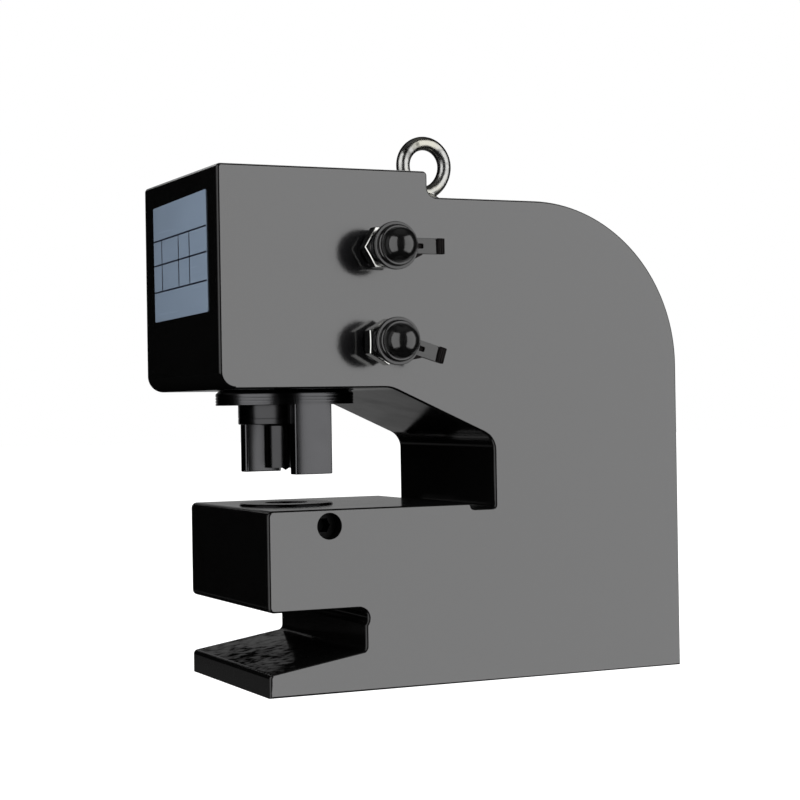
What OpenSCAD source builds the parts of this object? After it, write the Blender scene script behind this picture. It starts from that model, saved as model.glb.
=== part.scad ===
// Hydraulic plate punch: a thick steel C-frame with a double-acting ram in its head,
// a punch and a slotted stripper below it, a die in the lower jaw and a slug slot under the die.
// Origin: on the base plane, straight below the punch axis. +X runs to the back, +Z up.
// The ports and their couplers are on the -Y side.

/* [Frame outline] */
// Thickness of the frame, side to side
frame_w = 203; // [180:1:230]
// Height of the head block above the base
head_top = 457; // [450:1:480]
// Front of the head, ahead of the punch axis
head_front = 98.4; // [94:0.2:110]
// Length of the raised head block behind the punch axis
head_rear = 99.6; // [85:0.1:105]
// Height of the frame's top behind the head block
body_top = 434; // [426:1:444]
// Back face, behind the punch axis
back_x = 358; // [350:1:380]
// Radius of the large top rear corner
rear_r = 150; // [120:1:160]
// Radius of the head's lower front corner
head_low_r = 15; // [4:1:20]
// Radius of the small corners of the head's top
head_top_r = 4; // [2:0.5:8]
// Radius in the foot of the step behind the head
step_r = 9; // [4:1:12]

/* [Throat] */
// Height of the head's underside
head_bottom = 265; // [262:1:274]
// Height of the lower jaw's table
table_z = 160.2; // [152:1:164]
// Throat's back wall, behind the punch axis
throat_x = 162.4; // [150:0.1:185]
// Where the sloped roof of the throat starts, behind the punch axis
slope_x = 61; // [50:0.5:68]
// Slope of the throat's roof, in degrees
slope_deg = 24.4; // [16:0.1:26]
// Radius where the sloped roof meets the back wall
throat_r = 18; // [8:1:26]
// Width of the relief groove at the foot of the back wall
relief_w = 22.7; // [10:0.1:30]
// Depth of that groove
relief_d = 5; // [2:0.5:8]

/* [Lower jaw and foot] */
// Front of the lower jaw and foot, ahead of the punch axis
jaw_front = 57.3; // [50:0.1:70]
// Height of the lower jaw's underside, the roof of the slug slot
jaw_bottom = 72.6; // [66:0.5:82]
// Back wall of the slug slot, behind the punch axis
slot_x = 33; // [30:1:60]
// Height of the slot's sloped floor at the front
foot_front_z = 20.3; // [12:0.1:22]
// Height of that floor at the back
foot_rear_z = 35; // [26:0.1:38]
// Radius of the jaw's front corners
jaw_r = 5.3; // [2:0.1:8]
// Radius of the relief in the slot's top rear corner
slot_relief_r = 9; // [5:0.5:12]
// How far that relief reaches past the back wall
slot_relief_out = 2.4; // [1:0.1:4]
// Radius in the slot's bottom rear corner
slot_low_r = 5; // [2:0.5:8]

/* [Cylinder] */
// Bore of the cylinder
bore_d = 110; // [100:1:116]
// Height of the cylinder's closed end
bore_top = 392; // [389:1:394]
// Bore of the threaded mouth that takes the gland nut
mouth_d = 118; // [117:0.5:124]
// Height of the gland nut's top face
gland_top = 298.5; // [296:0.5:299]
// Diameter of the ram
ram_d = 70; // [60:1:74]
// Thickness of the piston
piston_t = 34; // [28:1:36]
// Height of the piston's top face when it is drawn up
piston_top = 380; // [378:1:381]
// Travel of the ram
stroke = 40; // [30:1:42]
// Diameter of the boss on the gland nut that stops the piston
stop_boss_d = 90; // [84:1:96]
// Across flats of the nut that holds the piston
piston_nut_af = 55; // [46:1:58]
// Diameter of the ram's spigot through the piston
spigot_d = 36; // [30:1:42]
// Depth of the recess for the piston nut
nut_recess = 12; // [8:1:16]
// Radial clearance of everything that slides
slide_fit = 0.05; // [0.03:0.01:0.1]

/* [Seals] */
// Radial thickness of the rod seal
rod_seal_t = 7; // [5:0.5:8]
// Height of the rod seal
rod_seal_h = 8; // [6:0.5:9]
// Radial thickness of the bronze guide ring
guide_t = 2.5; // [2:0.5:4]
// Height of the bronze guide ring
guide_h = 9; // [6:0.5:9]
// Radial thickness of the wiper
wiper_t = 6; // [4:0.5:7]
// Height of the wiper
wiper_h = 5.5; // [4:0.5:6]
// Section of the gland's static seal
gland_ring_t = 4; // [3:0.5:5]
// Radial thickness of the piston seal
piston_seal_t = 6; // [4:0.5:8]
// Height of the piston seal
piston_seal_h = 9; // [6:0.5:10]
// Radial thickness of the piston's wear ring
wear_t = 2.5; // [2:0.5:4]
// Height of the piston's wear ring
wear_h = 8; // [6:0.5:10]

/* [Stripper] */
// Outer diameter of the stripper
stripper_d = 125.8; // [120:0.2:130]
// Inner diameter of the stripper
stripper_bore = 101; // [96:0.5:104]
// Height of the stripper's ring below the head
stripper_ring_h = 13.6; // [10:0.2:18]
// Height of the lower ends of the legs above the base
leg_end_z = 189.4; // [186:0.2:194]
// Width of each leg
leg_w = 36.4; // [28:0.2:44]
// How far the stripper stands turned about the punch axis, in degrees
stripper_turn = 3.6; // [0:0.2:8]
// Spacing of the fine grooves round the ring
groove_pitch = 2.6; // [2:0.1:3]
// Width of a fine groove
groove_w = 0.8; // [0.4:0.1:1.2]
// Depth of a fine groove
groove_d = 0.5; // [0.3:0.1:1]

/* [Punch] */
// Diameter of the punch
punch_d = 38.6; // [30:0.2:39]
// Height of the punch's cutting face when it is drawn up
punch_face_z = 194.3; // [192:0.1:200]
// Diameter of the centring pip
pip_d = 8; // [4:0.5:10]
// Height of the centring pip
pip_h = 2.4; // [1.5:0.1:3]
// Diameter of the punch's head
punch_head_d = 60; // [52:1:64]
// Thickness of the punch's head
punch_head_t = 6; // [4:0.5:8]
// Outer diameter of the punch nut
nut_d = 85.2; // [80:0.2:87]
// Height of the punch nut's lower face
nut_bottom = 233.9; // [232:0.1:238]
// Height of the punch nut
nut_h = 28; // [24:0.5:30]
// Thickness of the nut's inner lip
nut_lip = 5; // [4:0.5:8]
// Diameter of the two spanner holes
spanner_d = 7; // [5:0.5:8]

/* [Die] */
// Diameter of the die
die_d = 85; // [70:0.5:96]
// Depth of the die's seat in the table
die_seat = 30; // [24:0.5:36]
// How far the die stands above the table
die_proud = 2; // [0.5:0.5:3]
// Diameter of the die's cutting hole
die_hole_d = 39.5; // [39.4:0.1:44]
// Depth of the cutting land in the die
die_land = 8; // [6:0.5:12]
// Diameter of the slug relief below the land
die_relief_d = 44; // [42:0.5:50]
// Diameter of the slug passage through the jaw
slug_d = 52; // [46:1:53]
// Radial clearance of the die in its seat
die_fit = 0.1; // [0.05:0.01:0.2]
// Diameter of the die's set screw
screw_d = 22.9; // [18:0.1:26]
// Height of the set screw above the base
screw_z = 145.4; // [142:0.1:147]
// How deep the set screw lies in its hole
screw_sunk = 15; // [10:1:20]
// Across flats of the set screw's socket
screw_af = 12; // [8:1:14]

/* [Couplers] */
// Distance of the port axes behind the punch axis
port_x = 49; // [46:0.5:50]
// Height of the advance port
upper_port_z = 386.5; // [385.5:0.1:387]
// Height of the retract port
lower_port_z = 304.4; // [303.5:0.1:306]
// Drilled oil passage
oil_d = 9; // [6:0.5:9]
// Diameter of the port thread
port_d = 16.5; // [14:0.1:18]
// Depth of the port thread
port_depth = 18; // [14:0.5:22]
// Across flats of the coupler's hexagon
hex_af = 35; // [30:0.5:38]
// Thickness of the hexagon
hex_t = 13; // [10:0.5:16]
// Length of the adapter's collar between the frame and the hexagon
collar_t = 8; // [5:0.5:10]
// Diameter of the adapter's collar
collar_d = 28; // [24:0.5:30]
// Thickness of the sealing washer
washer_t = 2; // [1.5:0.1:3]
// Diameter of the coupler's barrel
barrel_d = 33; // [30:0.5:34]
// Length of the barrel ahead of the hexagon
barrel_l = 15.4; // [14:0.2:17]
// Diameter of the coupler's nose
nose_d = 24; // [22:0.5:25]
// Length of the nose
nose_l = 16.6; // [14:0.2:18]
// How much further the lower coupler stands out
lower_out = 1.5; // [0:0.5:3]
// Turn of the upper coupler's hexagon, in degrees
upper_hex_turn = 0; // [0:5:30]
// Turn of the lower coupler's hexagon, in degrees
lower_hex_turn = 30; // [0:5:30]

/* [Dust caps] */
// Diameter of the cap's flange
cap_flange_d = 41.5; // [38:0.5:44]
// Thickness of the cap's flange
cap_flange_t = 5; // [3:0.5:6]
// Diameter of the step behind the dome
cap_step_d = 36; // [33:0.5:37]
// Length of that step
cap_step_t = 4.4; // [3:0.2:6]
// Radius of the cap's dome
dome_r = 15.2; // [14.6:0.1:16]
// Length of the dome's straight part
dome_l = 3; // [2:0.5:5]
// Width of the pull tab
tab_w = 13.8; // [10:0.2:16]
// Reach of the pull tab from the coupler's axis
tab_reach = 46; // [36:0.5:52]
// Thickness of the pull tab
tab_t = 3; // [2:0.5:4]
// Length of the ridged grip at the tab's end
grip_l = 6.6; // [4:0.2:9]
// Slope of the lower cap's tab, in degrees
lower_tab_turn = 17; // [0:1:30]

/* [Eye bolt] */
// Distance of the eye bolt behind the punch axis
eye_x = 145; // [135:1:160]
// Outer diameter of the eye
eye_d = 56; // [50:0.5:63]
// Diameter of the eye's bar
eye_bar = 12.9; // [10:0.1:14]
// Height of the eye's centre above the frame's top
eye_h = 42.4; // [40:0.2:52]
// Diameter of the eye bolt's neck
eye_neck_d = 15; // [12:0.5:18]
// Diameter of the eye bolt's collar
eye_collar_d = 28; // [24:0.5:32]
// Height of the collar
eye_collar_t = 6; // [4:0.5:8]
// Diameter of the eye bolt's shank
eye_shank_d = 12; // [10:0.5:16]
// Length of the shank in the frame
eye_shank_l = 26; // [18:1:32]

/* [Data plate] */
// Width of the plate
plate_w = 147.5; // [120:0.5:170]
// Height of the plate
plate_h = 105.5; // [90:0.5:112]
// Thickness of the plate
plate_t = 0.8; // [0.5:0.1:1.5]
// Height of the plate's centre above the base
plate_z = 383.4; // [376:0.2:388]
// Sideways place of the plate's centre
plate_y = -1.5; // [-8:0.5:8]

/* [Hidden] */

$fn = 96;
// Overlap of shapes that are joined, and overshoot of cuts
over = 1;
// Gap left where two parts stop against each other
stop_gap = 0.3;
// Radial clearance of threads and of parts that sit still in each other
seat_fit = 0.05;
// How far a rounding arc runs past its tangents
round_lap = 0.01;
side_y = -frame_w / 2;

// Heights that follow from the sizes above
function slope_at(x) = head_bottom - (x - slope_x) * tan(slope_deg);
function floor_at(x) = foot_front_z + (x + jaw_front) * tan(floor_deg);
floor_deg = atan((foot_rear_z - foot_front_z) / (jaw_front + slot_x));
foot_r = jaw_r - 1;
stripper_ring_low = head_bottom - stripper_ring_h;
groove_first = 3;
nut_top = nut_bottom + nut_h;
ram_low = nut_bottom + nut_lip + punch_head_t;
stem_more = 8;
punch_stem_d = punch_d + stem_more;
stem_cone = 1.5;
stem_fit = 0.2;
pip_point_d = 0.6;
spanner_depth = 5;
spot_face_d = stripper_d + 1;
die_edge = 0.8;
screw_gap = 0.1;
screw_tip_l = 3;
screw_tip_step = 2.5;
screw_tip_d = screw_d - 2 * screw_tip_step;
bolt_hole_end = 2;

// Inside the cylinder
oil_end_y = 18;
piston_low = piston_top - piston_t;
stop_boss_top = piston_low - stroke - stop_gap;
piston_edge = 3;
spigot_short = 2;
ring_land = 3;
gland_recess_d = nut_d + 3;
piston_recess_d = piston_nut_af / cos(30) + 4;
piston_seal_low = piston_top - 2 * ring_land - piston_seal_h;
wear_low = piston_low + 2 * ring_land;
guide_low = head_bottom + wiper_h + ring_land / 2;
gland_ring_low = gland_top - ring_land - gland_ring_t;
rod_seal_low = gland_top - ring_land - rod_seal_h;
wrench_hole_d = 4.5;
wrench_hole_l = 6;

// Distances of the coupler's shoulders from the frame's side
hex_out = collar_t;
barrel_out = hex_out + hex_t;
nose_out = barrel_out + barrel_l;
tip_out = nose_out + nose_l;
hex_chamfer = 3;
hex_corner_d = hex_af / cos(30);
washer_d = collar_d + 4;
barrel_grooves = 4;
barrel_groove_first = 4;
barrel_groove_pitch = 2.4;
barrel_groove_w = 1.2;
barrel_groove_d = 0.8;
nose_edge = 1;
thread_short = 2;
chamber_d = 17;
chamber_wall = 7;
chamber_end = tip_out - chamber_wall;
adapter_thread_d = 20;
adapter_in = 8;

// The valve inside a coupler and its spring
valve_hole_d = 11;
poppet_head_d = 14;
poppet_head_t = 3;
poppet_disc_t = 6;
poppet_tail_d = 8;
poppet_tail_l = 10;
poppet_notch_d = 5;
spring_wire = 1.6;
spring_turns = 6;
spring_mean_r = 5.9;

// Small parts of the caps and the eye bolt
cap_fit = 0.2;
grip_rise = 2.2;
grip_groove = 0.8;
grip_pitch = 2;
tab_root = dome_r + 2;
tab_slot = 5;
tab_web = 5;
eye_flare = 5;
eye_collar_edge = 1;

// Square ring about the Z axis
module ring(outer_d, inner_d, low, high) {
    translate([0, 0, low]) difference() {
        cylinder(d = outer_d, h = high - low);
        translate([0, 0, -over]) cylinder(d = inner_d, h = high - low + 2 * over);
    }
}

// Disc about the Z axis from one height to another
module post(d, low, high) {
    translate([0, 0, low]) cylinder(d = d, h = high - low);
}

/* The piece between a corner and the arc that rounds it: the arc has centre c and radius r
   and meets the corner's two sides in the directions a and b, a hair past touching them. */
module round_piece(c, r, a, b) {
    tip = r / cos((b - a) / 2) + over;
    mid = (a + b) / 2;
    side = r + over;
    difference() {
        polygon([
            c, c + side * [cos(a), sin(a)], c + tip * [cos(mid), sin(mid)],
            c + side * [cos(b), sin(b)]
        ]);
        translate(c) circle(r + round_lap);
    }
}

// Places children about a port axis, with their own +Z pointing out of the frame's side
module at_port(z, out = 0) {
    translate([port_x, side_y - out, z]) rotate([90, 0, 0]) children();
}

// The frame's side view, with every corner rounded as the plate is cut
module frame_outline() {
    difference() {
        polygon([
            [-jaw_front, 0], [back_x, 0], [back_x, body_top], [head_rear, body_top],
            [head_rear, head_top], [-head_front, head_top], [-head_front, head_bottom],
            [slope_x, head_bottom], [throat_x, slope_at(throat_x)],
            [throat_x, table_z - relief_d], [throat_x - relief_w, table_z - relief_d],
            [throat_x - relief_w - relief_d / 2, table_z], [-jaw_front, table_z],
            [-jaw_front, jaw_bottom], [slot_x, jaw_bottom], [slot_x, floor_at(slot_x)],
            [-jaw_front, floor_at(-jaw_front)]
        ]);
        round_piece([back_x - rear_r, body_top - rear_r], rear_r, 0, 90);
        round_piece([head_rear - head_top_r, head_top - head_top_r], head_top_r, 0, 90);
        round_piece([head_top_r - head_front, head_top - head_top_r], head_top_r, 90, 180);
        round_piece([head_low_r - head_front, head_bottom + head_low_r], head_low_r, 180, 270);
        round_piece([jaw_r - jaw_front, table_z - jaw_r], jaw_r, 90, 180);
        round_piece([jaw_r - jaw_front, jaw_bottom + jaw_r], jaw_r, 180, 270);
        round_piece([foot_r - jaw_front, floor_at(foot_r - jaw_front) - foot_r / cos(floor_deg)],
            foot_r, 90 + floor_deg, 180);
        translate([slot_x + slot_relief_out - slot_relief_r, jaw_bottom - slot_relief_r])
            circle(slot_relief_r);
    }
    round_piece([head_rear + step_r, body_top + step_r], step_r, 180, 270);
    round_piece([throat_x - throat_r, slope_at(throat_x - throat_r) - throat_r / cos(slope_deg)],
        throat_r, 0, 90 - slope_deg);
    round_piece([slot_x - slot_low_r, floor_at(slot_x - slot_low_r) + slot_low_r / cos(floor_deg)],
        slot_low_r, -90 + floor_deg, 0);
}

module c_frame() {
    color([0.16, 0.16, 0.17]) difference() {
        translate([0, frame_w / 2, 0]) rotate([90, 0, 0]) linear_extrude(frame_w) frame_outline();
        post(spot_face_d, stripper_ring_low, head_bottom);
        post(mouth_d, head_bottom - over, gland_top);
        post(bore_d, gland_top - over, bore_top);
        post(die_d + 2 * die_fit, table_z - die_seat, table_z + over);
        post(slug_d, jaw_bottom - over, table_z - die_seat + over);
        translate([0, 0, screw_z]) rotate([90, 0, 0])
            cylinder(d = screw_d + 2 * slide_fit, h = frame_w / 2 + over);
        for (z = [upper_port_z, lower_port_z]) {
            at_port(z, -port_depth) cylinder(d = port_d + 2 * seat_fit, h = port_depth + over);
            at_port(z, oil_end_y - frame_w / 2)
                cylinder(d = oil_d, h = frame_w / 2 - oil_end_y - port_depth + over);
        }
        translate([eye_x, 0, 0]) post(eye_shank_d + 2 * seat_fit,
            body_top - eye_shank_l - bolt_hole_end, body_top + over);
    }
}

/* Threaded into the cylinder's mouth. The ram runs in it, the punch nut draws up into the recess
   of its spigot, and the stripper sits on that spigot. */
module gland_nut() {
    color([0.22, 0.22, 0.23]) difference() {
        union() {
            post(mouth_d - 2 * seat_fit, head_bottom, gland_top);
            post(stripper_bore - 2 * seat_fit, stripper_ring_low, head_bottom + over);
            post(stop_boss_d, gland_top - over, stop_boss_top);
        }
        post(ram_d + 2 * slide_fit, stripper_ring_low - over, stop_boss_top + over);
        post(gland_recess_d, stripper_ring_low - over, head_bottom);
        post(ram_d + 2 * wiper_t, head_bottom - over, head_bottom + wiper_h);
        post(ram_d + 2 * guide_t, guide_low, guide_low + guide_h);
        post(ram_d + 2 * rod_seal_t, rod_seal_low, rod_seal_low + rod_seal_h);
        outer_groove(mouth_d, gland_ring_t, gland_ring_low, gland_ring_t);
        for (turn = [45 : 90 : 315]) rotate(turn)
            translate([(stripper_bore + gland_recess_d) / 4, 0, 0])
                post(wrench_hole_d, stripper_ring_low - over, stripper_ring_low + wrench_hole_l);
    }
}

module gland_o_ring() {
    color([0.1, 0.1, 0.1])
        ring(mouth_d - 2 * seat_fit, mouth_d - 2 * gland_ring_t, gland_ring_low,
            gland_ring_low + gland_ring_t);
}

module rod_seal() {
    color([0.15, 0.3, 0.25])
        ring(ram_d + 2 * rod_seal_t, ram_d + 2 * slide_fit, rod_seal_low,
            rod_seal_low + rod_seal_h);
}

module rod_guide_ring() {
    color([0.7, 0.5, 0.25])
        ring(ram_d + 2 * guide_t, ram_d + 2 * slide_fit, guide_low, guide_low + guide_h);
}

module rod_wiper() {
    color([0.15, 0.15, 0.15])
        ring(ram_d + 2 * wiper_t, ram_d + 2 * slide_fit, head_bottom, head_bottom + wiper_h);
}

/* A ring with two legs that hang beside the punch and hold the plate back as it draws out.
   Its front and back are open, so that the punch is seen and reached. */
module stripper_sleeve() {
    color([0.13, 0.13, 0.14]) rotate(stripper_turn) {
        difference() {
            ring(stripper_d, stripper_bore, stripper_ring_low, head_bottom);
            for (step = [0 : 2]) fine_groove(stripper_ring_low + groove_first + step * groove_pitch);
        }
        intersection() {
            ring(stripper_d, stripper_bore, leg_end_z, stripper_ring_low + over);
            difference() {
                translate([-leg_w / 2, -stripper_d, leg_end_z])
                    cube([leg_w, 2 * stripper_d, stripper_ring_low - leg_end_z + over]);
                fine_groove(stripper_ring_low);
            }
        }
    }
}

// A fine groove round the stripper
module fine_groove(z) {
    translate([0, 0, z - groove_w / 2]) difference() {
        cylinder(d = stripper_d + 2 * over, h = groove_w);
        translate([0, 0, -over])
            cylinder(d = stripper_d - 2 * groove_d, h = groove_w + 2 * over);
    }
}

module piston() {
    color([0.55, 0.56, 0.58]) difference() {
        post(bore_d - 2 * slide_fit, piston_low, piston_top);
        post(spigot_d + 2 * seat_fit, piston_low - over, piston_top);
        post(piston_recess_d, piston_top - nut_recess, piston_top + over);
        outer_groove(bore_d, piston_seal_t, piston_seal_low, piston_seal_h);
        outer_groove(bore_d, wear_t, wear_low, wear_h);
        outer_groove(bore_d, piston_edge, piston_low - over, piston_edge + over);
    }
}

// A groove of square section in the outside of a round piece
module outer_groove(d, depth, low, height) {
    translate([0, 0, low]) difference() {
        cylinder(d = d + 2 * over, h = height);
        translate([0, 0, -over]) cylinder(d = d - 2 * depth, h = height + 2 * over);
    }
}

module piston_seal() {
    color([0.2, 0.35, 0.3])
        ring(bore_d - 2 * slide_fit, bore_d - 2 * piston_seal_t, piston_seal_low,
            piston_seal_low + piston_seal_h);
}

module piston_wear_ring() {
    color([0.7, 0.5, 0.25])
        ring(bore_d - 2 * slide_fit, bore_d - 2 * wear_t, wear_low, wear_low + wear_h);
}

module piston_nut() {
    nut_low = piston_top - nut_recess;
    color([0.5, 0.5, 0.52]) difference() {
        translate([0, 0, nut_low])
            cylinder(d = piston_nut_af / cos(30), h = bore_top - stop_gap - nut_low, $fn = 6);
        post(spigot_d + 2 * seat_fit, nut_low - over, bore_top + over);
    }
}

module ram() {
    color([0.75, 0.76, 0.78]) {
        post(ram_d, ram_low, piston_low);
        post(spigot_d, piston_low - over, bore_top - stop_gap - spigot_short);
    }
}

// Screwed onto the ram's lower end. Its lip carries the punch's head.
module punch_nut() {
    color([0.14, 0.14, 0.15]) difference() {
        post(nut_d, nut_bottom, nut_top);
        post(ram_d + 2 * seat_fit, ram_low, nut_top + over);
        post(punch_head_d + 2 * stem_fit, nut_bottom + nut_lip, ram_low + over);
        post(punch_stem_d + 2 * stem_fit, nut_bottom - over, nut_top);
        translate([0, 0, nut_bottom + nut_h / 2]) for (turn = [-60, 120])
            rotate([0, 90, turn]) translate([0, 0, nut_d / 2 - spanner_depth])
                cylinder(d = spanner_d, h = spanner_depth + over);
    }
}

module punch() {
    color([0.2, 0.2, 0.21]) {
        post(punch_head_d, ram_low - punch_head_t, ram_low);
        post(punch_stem_d, nut_bottom, ram_low - punch_head_t + over);
        translate([0, 0, nut_bottom - stem_cone])
            cylinder(d1 = punch_d, d2 = punch_stem_d, h = stem_cone);
        post(punch_d, punch_face_z, nut_bottom);
        translate([0, 0, punch_face_z - pip_h]) cylinder(d1 = pip_point_d, d2 = pip_d, h = pip_h);
    }
}

module die() {
    die_low = table_z - die_seat;
    die_top = table_z + die_proud;
    color([0.3, 0.3, 0.31]) difference() {
        union() {
            post(die_d, die_low, die_top - die_edge);
            translate([0, 0, die_top - die_edge])
                cylinder(d1 = die_d, d2 = die_d - 2 * die_edge, h = die_edge);
        }
        post(die_hole_d, die_low - over, die_top + over);
        post(die_relief_d, die_low - over, die_top - die_land);
    }
}

module die_set_screw() {
    screw_in = die_d / 2 + screw_gap;
    screw_l = frame_w / 2 - screw_sunk - screw_in;
    color([0.18, 0.18, 0.19]) translate([0, -screw_in, screw_z]) rotate([90, 0, 0])
        difference() {
            union() {
                translate([0, 0, screw_tip_l]) cylinder(d = screw_d, h = screw_l - screw_tip_l);
                cylinder(d = screw_tip_d, h = screw_tip_l + over);
            }
            translate([0, 0, screw_l - screw_af])
                cylinder(d = screw_af / cos(30), h = screw_af + over, $fn = 6);
        }
}

module port_washers() {
    color([0.6, 0.6, 0.62]) for (z = [upper_port_z, lower_port_z])
        at_port(z) difference() {
            cylinder(d = washer_d, h = washer_t);
            translate([0, 0, -over])
                cylinder(d = port_d + 2 * seat_fit, h = washer_t + 2 * over);
        }
}

// The threaded piece between the frame's port and the coupler
module adapter(z, extra) {
    thread_in = port_depth - thread_short;
    collar_out = collar_t + extra;
    color([0.6, 0.6, 0.58]) at_port(z) difference() {
        union() {
            translate([0, 0, -thread_in]) cylinder(d = port_d, h = thread_in + collar_out);
            translate([0, 0, washer_t]) cylinder(d = collar_d, h = collar_out - washer_t);
            translate([0, 0, collar_out - over])
                cylinder(d = adapter_thread_d, h = adapter_in + over);
        }
        translate([0, 0, -thread_in - over])
            cylinder(d = oil_d, h = thread_in + collar_out + adapter_in + 2 * over);
    }
}

module upper_adapter() { adapter(upper_port_z, 0); }
module lower_adapter() { adapter(lower_port_z, lower_out); }

// The coupler's steel body: a hexagon, a grooved barrel and the nose that the hose goes on
module coupler_body(z, extra, turn) {
    color([0.62, 0.62, 0.6]) at_port(z, extra) difference() {
        union() {
            translate([0, 0, hex_out]) rotate(turn) hexagon();
            translate([0, 0, barrel_out - over]) cylinder(d = barrel_d, h = barrel_l + over);
            translate([0, 0, nose_out - over])
                cylinder(d = nose_d, h = nose_l + over - nose_edge);
            translate([0, 0, tip_out - nose_edge])
                cylinder(d1 = nose_d, d2 = nose_d - 2 * nose_edge, h = nose_edge);
        }
        translate([0, 0, hex_out - over])
            cylinder(d = adapter_thread_d + 2 * seat_fit, h = adapter_in + over);
        translate([0, 0, hex_out + adapter_in - over])
            cylinder(d = chamber_d, h = chamber_end - hex_out - adapter_in + over);
        translate([0, 0, chamber_end - over])
            cylinder(d = valve_hole_d, h = tip_out - chamber_end + 2 * over);
        for (step = [0 : barrel_grooves - 1])
            outer_groove(barrel_d, barrel_groove_d,
                barrel_out + barrel_groove_first + barrel_groove_pitch * step, barrel_groove_w);
    }
}

// The hexagon with both of its faces chamfered
module hexagon() {
    intersection() {
        cylinder(d = hex_corner_d, h = hex_t, $fn = 6);
        union() {
            cylinder(d1 = hex_af - 1, d2 = hex_corner_d + 1, h = hex_chamfer);
            translate([0, 0, hex_chamfer])
                cylinder(d = hex_corner_d + 1, h = hex_t - 2 * hex_chamfer);
            translate([0, 0, hex_t - hex_chamfer])
                cylinder(d1 = hex_corner_d + 1, d2 = hex_af - 1, h = hex_chamfer);
        }
    }
}

module upper_coupler_body() { coupler_body(upper_port_z, 0, upper_hex_turn); }
module lower_coupler_body() { coupler_body(lower_port_z, lower_out, lower_hex_turn); }

// The valve in the coupler's nose. The hose's own coupler pushes it in, against its spring.
module poppet(z, extra) {
    color([0.7, 0.68, 0.6]) at_port(z, extra) {
        translate([0, 0, chamber_end - poppet_disc_t]) difference() {
            cylinder(d = chamber_d - 2 * slide_fit, h = poppet_disc_t - poppet_head_t);
            for (turn = [0 : 120 : 240]) rotate(turn) translate([chamber_d / 2, 0, -over])
                cylinder(d = poppet_notch_d, h = poppet_disc_t + 2 * over);
        }
        translate([0, 0, chamber_end - poppet_disc_t + over])
            cylinder(d = poppet_head_d, h = poppet_disc_t - over);
        translate([0, 0, chamber_end - over])
            cylinder(d = valve_hole_d - 2 * slide_fit, h = tip_out - chamber_end);
        translate([0, 0, chamber_end - poppet_disc_t - poppet_tail_l])
            cylinder(d = poppet_tail_d, h = poppet_tail_l + over);
    }
}

module upper_poppet() { poppet(upper_port_z, 0); }
module lower_poppet() { poppet(lower_port_z, lower_out); }

// A round bar wound into a spring: rings of points along a helix, joined by triangles
module coil_spring(mean_r, wire_d, turns, length) {
    sides = 6;
    per_turn = 16;
    rings = turns * per_turn;
    rise = (length - wire_d) / rings;
    points = [
        for (i = [0 : rings], j = [0 : sides - 1])
            let (turn = 360 * i / per_turn, side = 360 * j / sides,
                r = mean_r + wire_d / 2 * cos(side))
            [r * cos(turn), r * sin(turn), wire_d / 2 * (1 + sin(side)) + rise * i]
    ];
    walls = [
        for (i = [0 : rings - 1], j = [0 : sides - 1])
            let (a = i * sides + j, b = i * sides + (j + 1) % sides)
            each [[a, b, b + sides], [a, b + sides, a + sides]]
    ];
    end = rings * sides;
    first = [for (j = [1 : sides - 2]) [0, j + 1, j]];
    last = [for (j = [1 : sides - 2]) [end, end + j, end + j + 1]];
    polyhedron(points, concat(walls, first, last));
}

module poppet_spring(z, extra) {
    low = hex_out + adapter_in + stop_gap;
    color([0.6, 0.6, 0.62]) at_port(z, extra + low)
        coil_spring(spring_mean_r, spring_wire, spring_turns,
            chamber_end - poppet_disc_t - low);
}

module upper_poppet_spring() { poppet_spring(upper_port_z, 0); }
module lower_poppet_spring() { poppet_spring(lower_port_z, lower_out); }

// A rubber cap pushed over the coupler's nose, with a domed end and a pull tab at its flange
module dust_cap(z, extra, turn) {
    start = nose_out + stop_gap;
    step_out = start + cap_flange_t;
    dome_out = step_out + cap_step_t;
    ball_out = dome_out + dome_l;
    color([0.09, 0.09, 0.1]) at_port(z, extra) difference() {
        union() {
            translate([0, 0, start]) cylinder(d = cap_flange_d, h = cap_flange_t);
            translate([0, 0, start]) cylinder(d = cap_step_d, h = cap_flange_t + cap_step_t);
            translate([0, 0, start])
                cylinder(r = dome_r, h = ball_out - start);
            translate([0, 0, ball_out]) intersection() {
                sphere(r = dome_r);
                cylinder(r = dome_r + over, h = dome_r + over);
            }
            rotate(turn) pull_tab(start);
        }
        translate([0, 0, start - over])
            cylinder(d = nose_d + 2 * cap_fit, h = nose_l - stop_gap + over + cap_fit);
    }
}

// The cap's tab: a flat tongue with a small slot at its root, a ridged grip and a short web
module pull_tab(start) {
    difference() {
        union() {
            translate([tab_root, -tab_w / 2, start])
                cube([tab_reach - tab_root, tab_w, tab_t]);
            translate([tab_reach - grip_l, -tab_w / 2, start])
                cube([grip_l, tab_w, tab_t + grip_rise]);
            translate([tab_root, -tab_w / 2 - tab_web / 2, start])
                cube([cap_flange_d / 2 - tab_root + tab_web, tab_web, tab_t]);
        }
        translate([cap_flange_d / 2 + tab_slot / 2, -tab_slot / 2, start - over])
            cube([tab_slot, tab_slot * 0.8, tab_t + 2 * over]);
        for (x = [tab_reach - grip_l + grip_pitch / 2 : grip_pitch : tab_reach - grip_pitch / 2])
            translate([x, -tab_w, start + tab_t + grip_rise - grip_groove])
                cube([grip_groove, 2 * tab_w, grip_groove + over]);
    }
}

module upper_dust_cap() { dust_cap(upper_port_z, 0, 0); }
module lower_dust_cap() { dust_cap(lower_port_z, lower_out, -lower_tab_turn); }

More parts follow.
